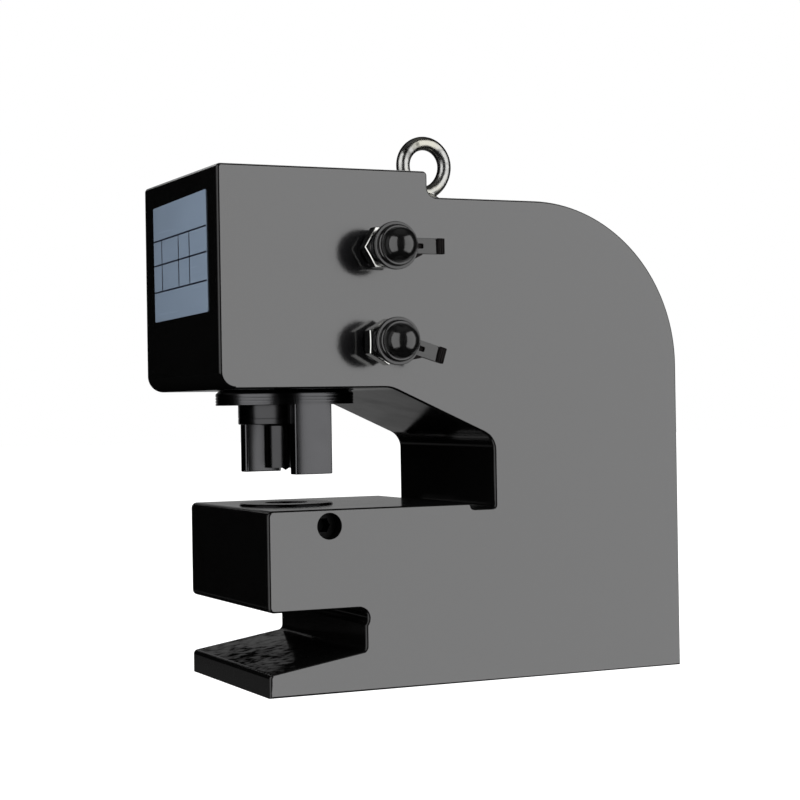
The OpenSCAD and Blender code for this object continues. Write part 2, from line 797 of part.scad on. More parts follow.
// Forged lifting eye, screwed into the frame's top above its balance point
module eye_bolt() {
    ring_r = (eye_d - eye_bar) / 2;
    color([0.72, 0.72, 0.68]) translate([eye_x, 0, body_top]) {
        translate([0, 0, eye_h]) rotate([90, 0, 0])
            rotate_extrude() translate([ring_r, 0]) circle(d = eye_bar);
        translate([0, 0, -eye_shank_l]) cylinder(d = eye_shank_d, h = eye_shank_l + over);
        cylinder(d = eye_collar_d, h = eye_collar_t);
        translate([0, 0, eye_collar_t])
            cylinder(d1 = eye_collar_d - 2 * eye_collar_edge, d2 = eye_neck_d, h = eye_flare);
        cylinder(d = eye_neck_d, h = eye_h - ring_r);
    }
}

// The thin plate on the head's front
module data_plate() {
    color([0.47, 0.53, 0.6])
        translate([-head_front - plate_t, plate_y - plate_w / 2, plate_z - plate_h / 2])
            cube([plate_t, plate_w, plate_h]);
}

c_frame();
gland_nut();
gland_o_ring();
rod_seal();
rod_guide_ring();
rod_wiper();
stripper_sleeve();
piston();
piston_seal();
piston_wear_ring();
piston_nut();
ram();
punch_nut();
punch();
die();
die_set_screw();
port_washers();
upper_adapter();
lower_adapter();
upper_coupler_body();
lower_coupler_body();
upper_poppet();
lower_poppet();
upper_poppet_spring();
lower_poppet_spring();
upper_dust_cap();
lower_dust_cap();
eye_bolt();
data_plate();
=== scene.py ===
"""Looks of a hydraulic plate punch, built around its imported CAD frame.

Sizes in the classes are millimetres in the frame of the part: the origin lies on the base plane,
straight under the punch, +X runs to the back and +Z is up. Surfaces are worked out as numpy arrays
and turned into metres when their mesh is made.
"""

from __future__ import annotations

import logging
import math
from dataclasses import dataclass
from enum import Enum
from typing import Sequence

import bmesh
import bpy
import numpy as np
from mathutils import Matrix, Vector

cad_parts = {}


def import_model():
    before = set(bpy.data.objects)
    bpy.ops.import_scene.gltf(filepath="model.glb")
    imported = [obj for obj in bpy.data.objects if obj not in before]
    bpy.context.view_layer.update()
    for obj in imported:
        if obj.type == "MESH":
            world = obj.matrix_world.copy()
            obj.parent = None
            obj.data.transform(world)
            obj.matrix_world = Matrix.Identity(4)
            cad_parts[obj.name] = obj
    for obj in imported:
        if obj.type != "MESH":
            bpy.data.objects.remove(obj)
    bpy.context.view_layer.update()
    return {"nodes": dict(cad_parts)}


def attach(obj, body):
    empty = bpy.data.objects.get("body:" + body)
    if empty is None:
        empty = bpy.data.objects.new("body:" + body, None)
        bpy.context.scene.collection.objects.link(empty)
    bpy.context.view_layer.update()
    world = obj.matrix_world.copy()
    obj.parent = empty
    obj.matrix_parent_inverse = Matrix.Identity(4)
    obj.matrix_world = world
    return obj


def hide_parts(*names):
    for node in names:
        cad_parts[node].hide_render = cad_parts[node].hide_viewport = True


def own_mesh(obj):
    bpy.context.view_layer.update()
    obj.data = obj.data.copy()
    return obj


log = logging.getLogger("plate_punch")

MM = 0.001
FINE_RELIEF = 0.0001
SHARP_DEG = 32.0
MERGE_DIST = 1e-6
FACE_WEIGHT = 60
BIG_ROUND = 60.0
EDGE_ARC = 30.0
TAB_ARC = 18.0
WIDE_ARC = 15.0
Corner = tuple[float, float, float]
Colour = tuple[float, float, float]
Triple = tuple[float, float, float]
Range = tuple[float, float]
Object = bpy.types.Object
Material = bpy.types.Material
Node = bpy.types.Node
Socket = bpy.types.NodeSocket


class Body(Enum):
    """The bodies that pieces ride on."""

    FRAME = "frame"
    RAM = "ram_unit"
    DIE = "die"
    SCREW = "set_screw"
    UPPER_POPPET = "upper_poppet"
    LOWER_POPPET = "lower_poppet"
    UPPER_CAP = "upper_cap"
    LOWER_CAP = "lower_cap"


class Finish(Enum):
    """The finishes, named after the record's material slots."""

    FRAME_PAINT = "frame_paint"
    BLACK_STEEL = "black_steel"
    TOOL_STEEL = "tool_steel"
    MACHINED = "machined_steel"
    POLISHED = "polished_rod"
    BRONZE = "bronze"
    SEAL = "seal_rubber"
    ZINC = "zinc_steel"
    COUPLER = "coupler_steel"
    SPRING = "spring_steel"
    CAP = "cap_rubber"
    PLATE = "plate_sheet"


class Axis(Enum):
    """Which way a local +Z axis points once a surface is placed."""

    UP = "up"
    OUT_OF_SIDE = "out_of_side"
    ALONG_X = "along_x"


Materials = dict[Finish, Material]


def arc(
    centre: tuple[float, float], radius: float, start: float, end: float, steps: int
) -> np.ndarray:
    """Points on a circle about a centre, at even angles.

    Args:
        centre: the circle's centre.
        radius: its radius.
        start: the first angle in degrees, anticlockwise from the first axis.
        end: the last angle in degrees.
        steps: the number of equal steps between them.

    Returns:
        An array of steps + 1 points.
    """
    angle = np.radians(np.linspace(start, end, steps + 1))
    return np.array(centre) + radius * np.column_stack([np.cos(angle), np.sin(angle)])


def rounded(corners: Sequence[Corner], closed: bool = True, step_deg: float = 7.5) -> np.ndarray:
    """A line through corners, each rounded by an arc that touches both of its sides.

    With u and v the unit directions from a corner to its neighbours and h half the angle between
    them, the arc's centre lies r / sin(h) along their sum, and it touches the sides r / tan(h) from
    the corner.

    Args:
        corners: (first coordinate, second coordinate, radius) in order. Radius 0 keeps a corner.
        closed: whether the last corner joins the first.
        step_deg: the largest angle between two points of an arc, cut to a third on big rounds.

    Returns:
        The line's points, one row each.
    """
    points = np.array([c[:2] for c in corners], float)
    line: list[np.ndarray] = []
    for i, (_, _, radius) in enumerate(corners):
        at_end = not closed and i in (0, len(corners) - 1)
        if radius <= 0 or at_end:
            line.append(points[i][None])
            continue
        u = points[i - 1] - points[i]
        v = points[(i + 1) % len(points)] - points[i]
        u, v = u / np.linalg.norm(u), v / np.linalg.norm(v)
        half = math.acos(np.clip(u @ v, -1, 1)) / 2
        centre = points[i] + (u + v) / np.linalg.norm(u + v) * radius / math.sin(half)
        first = points[i] + u * radius / math.tan(half) - centre
        last = points[i] + v * radius / math.tan(half) - centre
        start = math.degrees(math.atan2(first[1], first[0]))
        turn = math.degrees(math.atan2(last[1], last[0])) - start
        turn = (turn + 180) % 360 - 180
        fine = step_deg / 3 if radius > BIG_ROUND else step_deg
        line.append(
            arc(tuple(centre), radius, start, start + turn, max(2, round(abs(turn) / fine)))
        )
    return np.vstack(line)


def grid_faces(rows: int, columns: int, wrap_rows: bool, wrap_columns: bool) -> np.ndarray:
    """Four-sided faces of a grid of points stored row by row.

    Args:
        rows: number of rows.
        columns: number of columns.
        wrap_rows: whether the last row joins the first.
        wrap_columns: whether the last column joins the first.

    Returns:
        An array of corner indices, one face each.
    """
    i = np.arange(rows if wrap_rows else rows - 1)
    j = np.arange(columns if wrap_columns else columns - 1)
    i, j = (a.ravel() for a in np.meshgrid(i, j, indexing="ij"))
    below, beside = (i + 1) % rows, (j + 1) % columns
    return np.column_stack(
        [i * columns + j, i * columns + beside, below * columns + beside, below * columns + j]
    )


@dataclass
class Surface:
    """Points in millimetres and the faces on them."""

    points: np.ndarray
    faces: list

    def joined(self, *others: "Surface") -> "Surface":
        """This surface and others as one.

        Args:
            others: the other surfaces.

        Returns:
            The joined surface.
        """
        points, faces = [self.points], list(self.faces)
        shift = len(self.points)
        for other in others:
            faces += [tuple(k + shift for k in face) for face in other.faces]
            points.append(other.points)
            shift += len(other.points)
        return Surface(np.vstack(points), faces)

    def placed(
        self, origin: Sequence[float], axis: Axis = Axis.UP, turn_deg: float = 0.0
    ) -> "Surface":
        """The surface turned about its own +Z, pointed along an axis and moved to an origin.

        Args:
            origin: where its own origin goes.
            axis: where its own +Z points.
            turn_deg: its turn about its own +Z first.

        Returns:
            The placed surface.
        """
        c, s = math.cos(math.radians(turn_deg)), math.sin(math.radians(turn_deg))
        turned = self.points @ np.array([[c, s, 0], [-s, c, 0], [0, 0, 1]])
        x, y, z = turned.T
        if axis is Axis.OUT_OF_SIDE:
            turned = np.column_stack([x, -z, y])
        elif axis is Axis.ALONG_X:
            turned = np.column_stack([z, x, y])
        return Surface(turned + np.array(origin, float), self.faces)


def revolve(profile: np.ndarray, segments: int = 96, closed: bool = True) -> Surface:
    """A surface of revolution: (r cos a, r sin a, h) at angle a, for each (r, h) of a profile.

    Args:
        profile: rows of radius and height.
        segments: the number of steps round the axis.
        closed: whether the profile's last point joins its first.

    Returns:
        The surface. Poles at radius 0 are merged when its mesh is made.
    """
    angle = np.linspace(0, 2 * math.pi, segments, endpoint=False)
    radius, height = profile[:, :1], profile[:, 1:]
    x, y = radius * np.cos(angle), radius * np.sin(angle)
    points = np.stack([x, y, height + 0 * x], axis=-1).reshape(-1, 3)
    return Surface(points, grid_faces(len(profile), segments, closed, True).tolist())


def cylinder(radius: float, low: float, high: float, segments: int) -> Surface:
    """A solid cylinder about its own +Z, between two heights."""
    return revolve(np.array([[0, low], [radius, low], [radius, high], [0, high]]), segments, False)


def inset_directions(outline: np.ndarray) -> np.ndarray:
    """How far each point of an outline moves when its sides move in by 1.

    With m and n the inward normals of the two sides at a point, it moves by (m + n) / (1 + m.n).

    Args:
        outline: points of an anticlockwise outline.

    Returns:
        The move of each point.
    """
    side = np.roll(outline, -1, axis=0) - outline
    side /= np.linalg.norm(side, axis=1, keepdims=True)
    normal = np.column_stack([-side[:, 1], side[:, 0]])
    before = np.roll(normal, 1, axis=0)
    return (normal + before) / (1 + np.sum(normal * before, axis=1, keepdims=True))


def prism(outline: np.ndarray, low: float, high: float, fillet: float, steps: int = 5) -> Surface:
    """An outline carried from one height to another, with rounded rims.

    Round a rim, the ring at angle t lies fillet * (1 - sin t) inside the outline and
    fillet * (1 - cos t) from the end, so the rings follow a quarter circle.

    Args:
        outline: points of an anticlockwise outline without repeats.
        low: height of the lower end.
        high: height of the upper end.
        fillet: radius of both rims.
        steps: steps of each quarter circle.

    Returns:
        The closed surface, with the outline in X and Y and the height in Z.
    """
    t = np.radians(np.linspace(0, 90, steps + 1))
    inset = fillet * (1 - np.sin(t))
    rise = fillet * (1 - np.cos(t))
    insets = np.concatenate([inset, inset[::-1]])
    heights = np.concatenate([low + rise, high - rise[::-1]])
    rings = outline[None] + insets[:, None, None] * inset_directions(outline)[None]
    z = np.broadcast_to(heights[:, None, None], rings.shape[:2] + (1,))
    points = np.concatenate([rings, z], axis=2).reshape(-1, 3)
    count = len(outline)
    faces = grid_faces(len(insets), count, False, True).tolist()
    last = (len(insets) - 1) * count
    return Surface(points, faces + [list(range(count))[::-1], list(range(last, last + count))])


def make_object(name: str, surface: Surface, sharp_deg: float = SHARP_DEG) -> Object:
    """A mesh object in metres at the origin, with merged points and faces that point outwards.

    Args:
        name: the object's name.
        surface: its closed surface in millimetres.
        sharp_deg: edges steeper than this stay sharp.

    Returns:
        The new object.
    """
    mesh = bpy.data.meshes.new(name)
    mesh.from_pydata((surface.points * MM).tolist(), [], [list(f) for f in surface.faces])
    work = bmesh.new()
    work.from_mesh(mesh)
    bmesh.ops.remove_doubles(work, verts=work.verts, dist=MERGE_DIST)
    bmesh.ops.recalc_face_normals(work, faces=work.faces)
    work.to_mesh(mesh)
    work.free()
    obj = bpy.data.objects.new(name, mesh)
    bpy.context.scene.collection.objects.link(obj)
    smooth_by_angle(obj, sharp_deg)
    return obj


def smooth_by_angle(obj: Object, sharp_deg: float = SHARP_DEG) -> None:
    """Shades a mesh smooth, but for edges steeper than an angle."""
    obj.data.shade_smooth()
    obj.data.set_sharp_from_angle(angle=math.radians(sharp_deg))


def weigh_normals(obj: Object) -> None:
    """Lets large flat faces set the shading of their rims.

    Args:
        obj: the object.
    """
    modifier = obj.modifiers.new("weighted", "WEIGHTED_NORMAL")
    modifier.keep_sharp = True
    modifier.weight = FACE_WEIGHT


def apply_modifiers(obj: Object) -> None:
    """Turns what an object's modifiers give into its own mesh.

    Args:
        obj: the object.
    """
    depsgraph = bpy.context.evaluated_depsgraph_get()
    mesh = bpy.data.meshes.new_from_object(obj.evaluated_get(depsgraph))
    obj.modifiers.clear()
    obj.data = mesh


def cut(obj: Object, cutters: Sequence[Surface]) -> None:
    """Takes closed surfaces away from an object's mesh, and removes the cutters.

    Args:
        obj: the object that is cut.
        cutters: the closed surfaces to take away.
    """
    tools = [make_object(f"{obj.name}_cut_{i}", surface) for i, surface in enumerate(cutters)]
    for tool in tools:
        modifier = obj.modifiers.new(tool.name, "BOOLEAN")
        modifier.object = tool
        modifier.solver = "EXACT"
    apply_modifiers(obj)
    for tool in tools:
        bpy.data.objects.remove(tool)


def dress(obj: Object, body: Body, finish: Finish, materials: Materials, *nodes: str) -> Object:
    """Gives a new piece its material, puts it on its body and hides the CAD nodes that it stands
    for.

    Args:
        obj: the piece.
        body: the body that it rides on.
        finish: its finish.
        materials: the built materials.
        nodes: names of the CAD nodes that it replaces.

    Returns:
        The same piece.
    """
    obj.data.materials.clear()
    obj.data.materials.append(materials[finish])
    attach(obj, body.value)
    if nodes:
        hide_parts(*nodes)
    log.info("%s: %d faces on %s", obj.name, len(obj.data.polygons), body.value)
    return obj


class Shader:
    """A node tree, with short calls to add nodes and join them."""

    def __init__(self, tree: bpy.types.NodeTree) -> None:
        """Keeps the tree that nodes are added to."""
        self.tree = tree

    def add(self, kind: str, **settings: object) -> Node:
        """Adds a node and sets its properties.

        Args:
            kind: the node's type name.
            settings: property values, by name.

        Returns:
            The new node.
        """
        node = self.tree.nodes.new(kind)
        for name, value in settings.items():
            setattr(node, name, value)
        return node

    def join(self, source: Socket, target: Socket) -> None:
        """Joins an output to an input."""
        self.tree.links.new(source, target)

    def feed(self, target: Socket, value: object) -> None:
        """Joins a socket to an input, or sets the input's own value.

        Args:
            target: the input.
            value: a socket, or the value itself.
        """
        if isinstance(value, Socket):
            self.join(value, target)
        else:
            target.default_value = value

    def math(
        self, operation: str, first: object, second: object = 0.0, clamp: bool = False
    ) -> Socket:
        """A Math node on two sockets or numbers.

        Args:
            operation: the node's operation.
            first: its first value.
            second: its second value.
            clamp: whether the result stays between 0 and 1.

        Returns:
            The result's socket.
        """
        node = self.add("ShaderNodeMath", operation=operation, use_clamp=clamp)
        self.feed(node.inputs[0], first)
        self.feed(node.inputs[1], second)
        return node.outputs[0]

    def spread(
        self, value: object, low: float, high: float, to_low: float = 0.0, to_high: float = 1.0
    ) -> Socket:
        """A smooth Map Range.

        Args:
            value: the value that is mapped.
            low: where the change starts.
            high: where it ends.
            to_low: the result where it starts.
            to_high: the result where it ends.

        Returns:
            The result's socket.
        """
        node = self.add("ShaderNodeMapRange", interpolation_type="SMOOTHSTEP")
        for socket, item in zip(node.inputs, (value, low, high, to_low, to_high)):
            self.feed(socket, item)
        return node.outputs[0]

    def blend(self, factor: object, first: object, second: object) -> Socket:
        """A colour mix.

        Args:
            factor: 0 for the first colour, 1 for the second.
            first: the first colour.
            second: the second colour.

        Returns:
            The mixed colour's socket.
        """
        node = self.add("ShaderNodeMix", data_type="RGBA")
        self.feed(node.inputs["Factor"], factor)
        colours = [socket for socket in node.inputs if socket.type == "RGBA"]
        self.feed(colours[0], first)
        self.feed(colours[1], second)
        return [socket for socket in node.outputs if socket.type == "RGBA"][0]

    def noise(self, vector: Socket, scale: float, detail: float = 3.0) -> Socket:
        """Noise.

        Args:
            vector: the place where it is read.
            scale: its features per metre.
            detail: its finer octaves.

        Returns:
            The noise's socket.
        """
        node = self.add("ShaderNodeTexNoise")
        self.join(vector, node.inputs["Vector"])
        self.feed(node.inputs["Scale"], scale)
        self.feed(node.inputs["Detail"], detail)
        return node.outputs["Fac"]

    def mapped(self, vector: Socket, key: str, value: Sequence[float]) -> Socket:
        """Coordinates scaled or turned by a Mapping node.

        Args:
            vector: the coordinates.
            key: the node's input that is set.
            value: its value on each axis.

        Returns:
            The new coordinates.
        """
        node = self.add("ShaderNodeMapping")
        self.join(vector, node.inputs["Vector"])
        node.inputs[key].default_value = value
        return node.outputs["Vector"]

    def split(self, vector: Socket) -> Sequence[Socket]:
        """A vector's coordinates.

        Args:
            vector: the vector.

        Returns:
            Its coordinates, by their letters.
        """
        node = self.add("ShaderNodeSeparateXYZ")
        self.join(vector, node.inputs[0])
        return node.outputs


def new_group(
    name: str, inputs: dict[str, float], outputs: Sequence[str]
) -> tuple[Shader, Node, Node]:
    """A shader node group with a vector input, number inputs and number outputs.

    Args:
        name: the group's name.
        inputs: default values of its number inputs, by name.
        outputs: names of its number outputs.

    Returns:
        Its shader, its input node and its output node.
    """
    tree = bpy.data.node_groups.new(name, "ShaderNodeTree")
    tree.interface.new_socket("Vector", in_out="INPUT", socket_type="NodeSocketVector")
    for key, value in inputs.items():
        tree.interface.new_socket(
            key, in_out="INPUT", socket_type="NodeSocketFloat"
        ).default_value = value
    for key in outputs:
        tree.interface.new_socket(key, in_out="OUTPUT", socket_type="NodeSocketFloat")
    shader = Shader(tree)
    return shader, shader.add("NodeGroupInput"), shader.add("NodeGroupOutput")


def new_material(name: str) -> tuple[Material, Shader, Node]:
    """Starts a material.

    Args:
        name: the material's name.

    Returns:
        The material, its shader and its Principled BSDF.
    """
    material = bpy.data.materials.new(name)
    material.use_nodes = True
    return material, Shader(material.node_tree), material.node_tree.nodes["Principled BSDF"]


class SharedEffects:
    """Node groups that more than one material uses."""

    def __init__(self) -> None:
        """Builds the groups once."""
        self.smudge = self._smudge()
        self.peel = self._peel()
        self.turning = self._turning()

    @staticmethod
    def _smudge() -> bpy.types.NodeTree:
        """Roughness that wanders: base + amount * (broad noise + finer noise - 1).

        Returns:
            The group, with the halved sum of the noises as its mask.
        """
        defaults = {"Base": 0.3, "Amount": 0.1, "Scale": 8.0}
        shader, given, out = new_group("smudge", defaults, ["Roughness", "Mask"])
        scales = [shader.math("MULTIPLY", given.outputs["Scale"], factor) for factor in (1.0, 6.0)]
        broad, fine = (shader.noise(given.outputs["Vector"], scale, 2.0) for scale in scales)
        total = shader.math("ADD", broad, fine)
        swing = shader.math(
            "MULTIPLY", shader.math("SUBTRACT", total, 1.0), given.outputs["Amount"]
        )
        rough = shader.math("ADD", swing, given.outputs["Base"], clamp=True)
        shader.join(rough, out.inputs["Roughness"])
        shader.join(shader.math("MULTIPLY", total, 0.5), out.inputs["Mask"])
        return shader.tree

    @staticmethod
    def _peel() -> bpy.types.NodeTree:
        """Height of sprayed paint: fine waves over a broad unevenness.

        Returns:
            The group.
        """
        shader, given, out = new_group("orange_peel", {"Scale": 350.0, "Broad": 30.0}, ["Height"])
        spot = given.outputs["Vector"]
        fine = shader.noise(spot, given.outputs["Scale"], 1.0)
        slow = shader.math("MULTIPLY", shader.noise(spot, given.outputs["Broad"], 2.0), 3.0)
        shader.join(shader.math("ADD", fine, slow), out.inputs["Height"])
        return shader.tree

    @staticmethod
    def _turning() -> bpy.types.NodeTree:
        """Height of lathe marks: noise that changes fast along Z and slowly across it.

        Returns:
            The group.
        """
        shader, given, out = new_group("turning_marks", {"Along": 900.0, "Across": 4.0}, ["Height"])
        split = shader.split(given.outputs["Vector"])
        pack = shader.add("ShaderNodeCombineXYZ")
        for key in "XYZ":
            rate = given.outputs["Along"] if key == "Z" else given.outputs["Across"]
            shader.join(shader.math("MULTIPLY", split[key], rate), pack.inputs[key])
        shader.join(shader.noise(pack.outputs[0], 1.0, 2.0), out.inputs["Height"])
        return shader.tree


def shaded(colour: Colour, factor: float) -> tuple[float, float, float, float]:
    """A colour made darker or lighter by a factor, with full alpha."""
    return tuple(min(1.0, c * factor) for c in colour) + (1.0,)


@dataclass(frozen=True)
class Coat:
    """The nodes of one material, as its finish works on them."""

    shader: Shader
    principled: Node
    where: Node
    haze: Node
    effects: SharedEffects

    @property
    def spot(self) -> Socket:
        """The place on the part, in metres."""
        return self.where.outputs["Object"]

    def facing(self) -> Sequence[Socket]:
        """The coordinates of the direction that a face points in."""
        return self.shader.split(self.where.outputs["Normal"])

    def clouded(self, colour: Colour, tones: Range) -> Socket:
        """A colour that wanders between two shares of itself with the smudges.

        Args:
            colour: the colour.
            tones: the two shares.

        Returns:
            The wandering colour.
        """
        return self.shader.blend(
            self.haze.outputs["Mask"], *(shaded(colour, tone) for tone in tones)
        )

    def paint(self, colour: Socket) -> None:
        """Gives the material its colour."""
        self.shader.join(colour, self.principled.inputs["Base Color"])

    def height(self, group: bpy.types.NodeTree, vector: Socket) -> Socket:
        """The height that a shared group gives.

        Args:
            group: the group.
            vector: the place where it is read.

        Returns:
            The height's socket.
        """
        node = self.shader.add("ShaderNodeGroup", node_tree=group)
        self.shader.join(vector, node.inputs["Vector"])
        return node.outputs["Height"]

    def relief(self, height: Socket, strength: float, depth: float = FINE_RELIEF) -> None:
        """Feeds a height to the shader's normal through a Bump node.

        Args:
            height: the height, 0 to 1.
            strength: the Bump node's strength.
            depth: what a height of 1 measures, in metres.
        """
        bump = self.shader.add("ShaderNodeBump")
        bump.inputs["Strength"].default_value = strength
        bump.inputs["Distance"].default_value = depth
        self.shader.join(height, bump.inputs["Height"])
        self.shader.join(bump.outputs["Normal"], self.principled.inputs["Normal"])

    def roughen(self, features: float, detail: float, strength: float) -> None:
        """Gives the surface a fine even grain."""
        self.relief(self.shader.noise(self.spot, features, detail), strength)


@dataclass(frozen=True)
class BaseFinish:
    """What every finish has: its colour, roughness and the sockets that stay the same all over.

    Its tones are the shares of the colour that it wanders between. Its grain is a fine relief,
    given by its features per metre, the detail of its noise and its strength.
    """

    colour: Colour
    roughness: float
    metallic: float = 0.0
    ior: float = 1.5
    smudge: float = 0.06
    smudge_scale: float = 8.0
    tones: Range = (0.85, 1.15)
    grain: Triple = (900.0, 3.0, 0.15)

    def build(self, name: str, effects: SharedEffects) -> Material:
        """Builds the material.

        Args:
            name: the material's name.
            effects: the shared node groups.

        Returns:
            The material.
        """
        material, shader, principled = new_material(name)
        principled.inputs["Metallic"].default_value = self.metallic
        principled.inputs["IOR"].default_value = self.ior
        where = shader.add("ShaderNodeTexCoord")
        haze = shader.add("ShaderNodeGroup", node_tree=effects.smudge)
        shader.join(where.outputs["Object"], haze.inputs["Vector"])
        amounts = {"Base": self.roughness, "Amount": self.smudge, "Scale": self.smudge_scale}
        for key, value in amounts.items():
            haze.inputs[key].default_value = value
        shader.join(haze.outputs["Roughness"], principled.inputs["Roughness"])
        self.detail(Coat(shader, principled, where, haze, effects))
        return material

    def detail(self, coat: Coat) -> None:
        """Colour and relief of a plain worn surface. Finishes of their own kind put theirs here.

        Args:
            coat: the material's nodes.
        """
        coat.paint(coat.clouded(self.colour, self.tones))
        coat.roughen(*self.grain)


@dataclass(frozen=True)
class SprayedPaint(BaseFinish):
    """Gloss black paint on the frame: a lighter grey on the broad sides and the table is a painted
    reflection.

    It shines less on upright edges, and least on the sloped floor of the slot, where it is
    mottled. The throat's slope is lightly scuffed, and the low round of the head's front is dull.
    Each mask is the range of a coordinate of a face's direction over which it comes in.
    """

    tones: Range = (0.8, 1.3)
    # Painted reflection: a lighter grey base colour for the broad sides and the table, standing in
    # for the big light mirrored in them.
    painted_reflection_colour: Colour = (0.006, 0.006, 0.0066)
    painted_reflection_tones: Range = (0.96, 1.04)
    broad_roughness: float = 0.15
    painted_reflection_side_mask: Range = (0.965, 0.99)
    top_mask: Range = (0.99, 0.998)
    gloss: float = 0.5
    edge_gloss: float = 0.15
    edge_mask: Range = (0.2, 0.55)
    floor_gloss: Range = (0.0, 0.03)
    floor_mask: Range = (0.93, 0.975)
    mottle_noises: tuple[Range, Range] = ((22.0, 2.0), (130.0, 5.0))
    mottle_range: Range = (0.17, 0.42)
    slope_masks: tuple[Range, Range] = ((0.8, 0.88), (0.95, 0.99))
    slope_scuff: Range = (-0.6, 0.25)
    scuff_range: Range = (0.36, 0.62)
    scuff_scale: Triple = (40.0, 14.0, 40.0)
    scuff_detail: float = 5.0
    round_gloss: float = 0.0
    round_mask: Range = (0.02, 0.15)
    round_place: Range = (-0.0834, -0.0844)
    peel_strength: float = 0.12
    peel_depth: float = 0.0002

    def detail(self, coat: Coat) -> None:
        """Mixes in the painted reflection's grey by which way a face points, sets the gloss and
        adds sprayed relief.

        Args:
            coat: the material's nodes.
        """
        shader, facing = coat.shader, coat.facing()
        # Broad sides and table: the lighter grey base is a painted reflection of the big light, not
        # a second paint colour.
        side = shader.spread(shader.math("ABSOLUTE", facing["Y"]), *self.painted_reflection_side_mask)
        top = shader.spread(facing["Z"], *self.top_mask)
        broad = shader.math("MAXIMUM", side, top)
        black = coat.clouded(self.colour, self.tones)
        coat.paint(shader.blend(broad, black, coat.clouded(self.painted_reflection_colour, self.painted_reflection_tones)))
        lift = shader.math("MULTIPLY", broad, self.broad_roughness - self.roughness)
        rough = shader.math("ADD", coat.haze.outputs["Roughness"], lift)
        shader.join(rough, coat.principled.inputs["Roughness"])
        gloss = self.raised_gloss(coat, facing)
        floor = shader.math(
            "SUBTRACT", shader.spread(facing["Z"], *self.floor_mask), top, clamp=True
        )
        noises = [shader.noise(coat.spot, *noise) for noise in self.mottle_noises]
        mottle = shader.math("MULTIPLY", *noises)
        dull = shader.spread(mottle, *self.mottle_range, *self.floor_gloss)
        change = shader.math("MULTIPLY", floor, shader.math("SUBTRACT", dull, gloss))
        shader.join(shader.math("ADD", gloss, change), coat.principled.inputs["Specular IOR Level"])
        coat.relief(coat.height(coat.effects.peel, coat.spot), self.peel_strength, self.peel_depth)

    def raised_gloss(self, coat: Coat, facing: Sequence[Socket]) -> Socket:
        """Gloss of all but the slot's floor.

        Args:
            coat: the material's nodes.
            facing: the coordinates of a face's direction.

        Returns:
            The gloss, for the shader's specular level.
        """
        shader = coat.shader
        across = shader.math("ABSOLUTE", facing["X"])
        gloss = shader.spread(across, *self.edge_mask, self.gloss, self.edge_gloss)
        down = shader.math("MULTIPLY", facing["Z"], -1.0)
        slope = shader.math("SUBTRACT", *(shader.spread(down, *mask) for mask in self.slope_masks))
        stretched = shader.mapped(coat.spot, "Scale", self.scuff_scale)
        streaks = shader.noise(stretched, 1.0, self.scuff_detail)
        scuff = shader.math(
            "MULTIPLY", slope, shader.spread(streaks, *self.scuff_range, *self.slope_scuff)
        )
        gloss = shader.math("MULTIPLY", gloss, shader.math("ADD", scuff, 1.0))
        ahead = shader.spread(shader.split(coat.spot)["X"], *self.round_place)
        low_round = shader.math("MULTIPLY", shader.spread(down, *self.round_mask), ahead)
        return shader.math(
            "MULTIPLY", gloss, shader.spread(low_round, 0.0, 1.0, 1.0, self.round_gloss)
        )


@dataclass(frozen=True)
class TurnedSteel(BaseFinish):
    """Steel with lathe marks round an axis that is up, or out of the side."""

    tones: Range = (0.8, 1.15)
    marks: float = 0.2
    out_of_side: bool = False

    def detail(self, coat: Coat) -> None:
        """Varies the steel's tone and presses lathe marks into it.

        Args:
            coat: the material's nodes.
        """
        coat.paint(coat.clouded(self.colour, self.tones))
        turn = (math.radians(90) if self.out_of_side else 0.0, 0.0, 0.0)
        turned = coat.shader.mapped(coat.spot, "Rotation", turn)
        coat.relief(coat.height(coat.effects.turning, turned), self.marks)


@dataclass(frozen=True)
class GroundTop(BaseFinish):
    """Blackened steel whose top face is ground bright."""

    grain: Triple = (900.0, 3.0, 0.1)
    wall_share: float = 0.08
    top_mask: Range = (0.9, 0.99)

    def detail(self, coat: Coat) -> None:
        """Mixes wall and top tones by how far a face points up.

        Args:
            coat: the material's nodes.
        """
        up = coat.shader.spread(coat.facing()["Z"], *self.top_mask)
        top = coat.clouded(self.colour, self.tones)
        coat.paint(coat.shader.blend(up, shaded(self.colour, self.wall_share), top))
        coat.roughen(*self.grain)


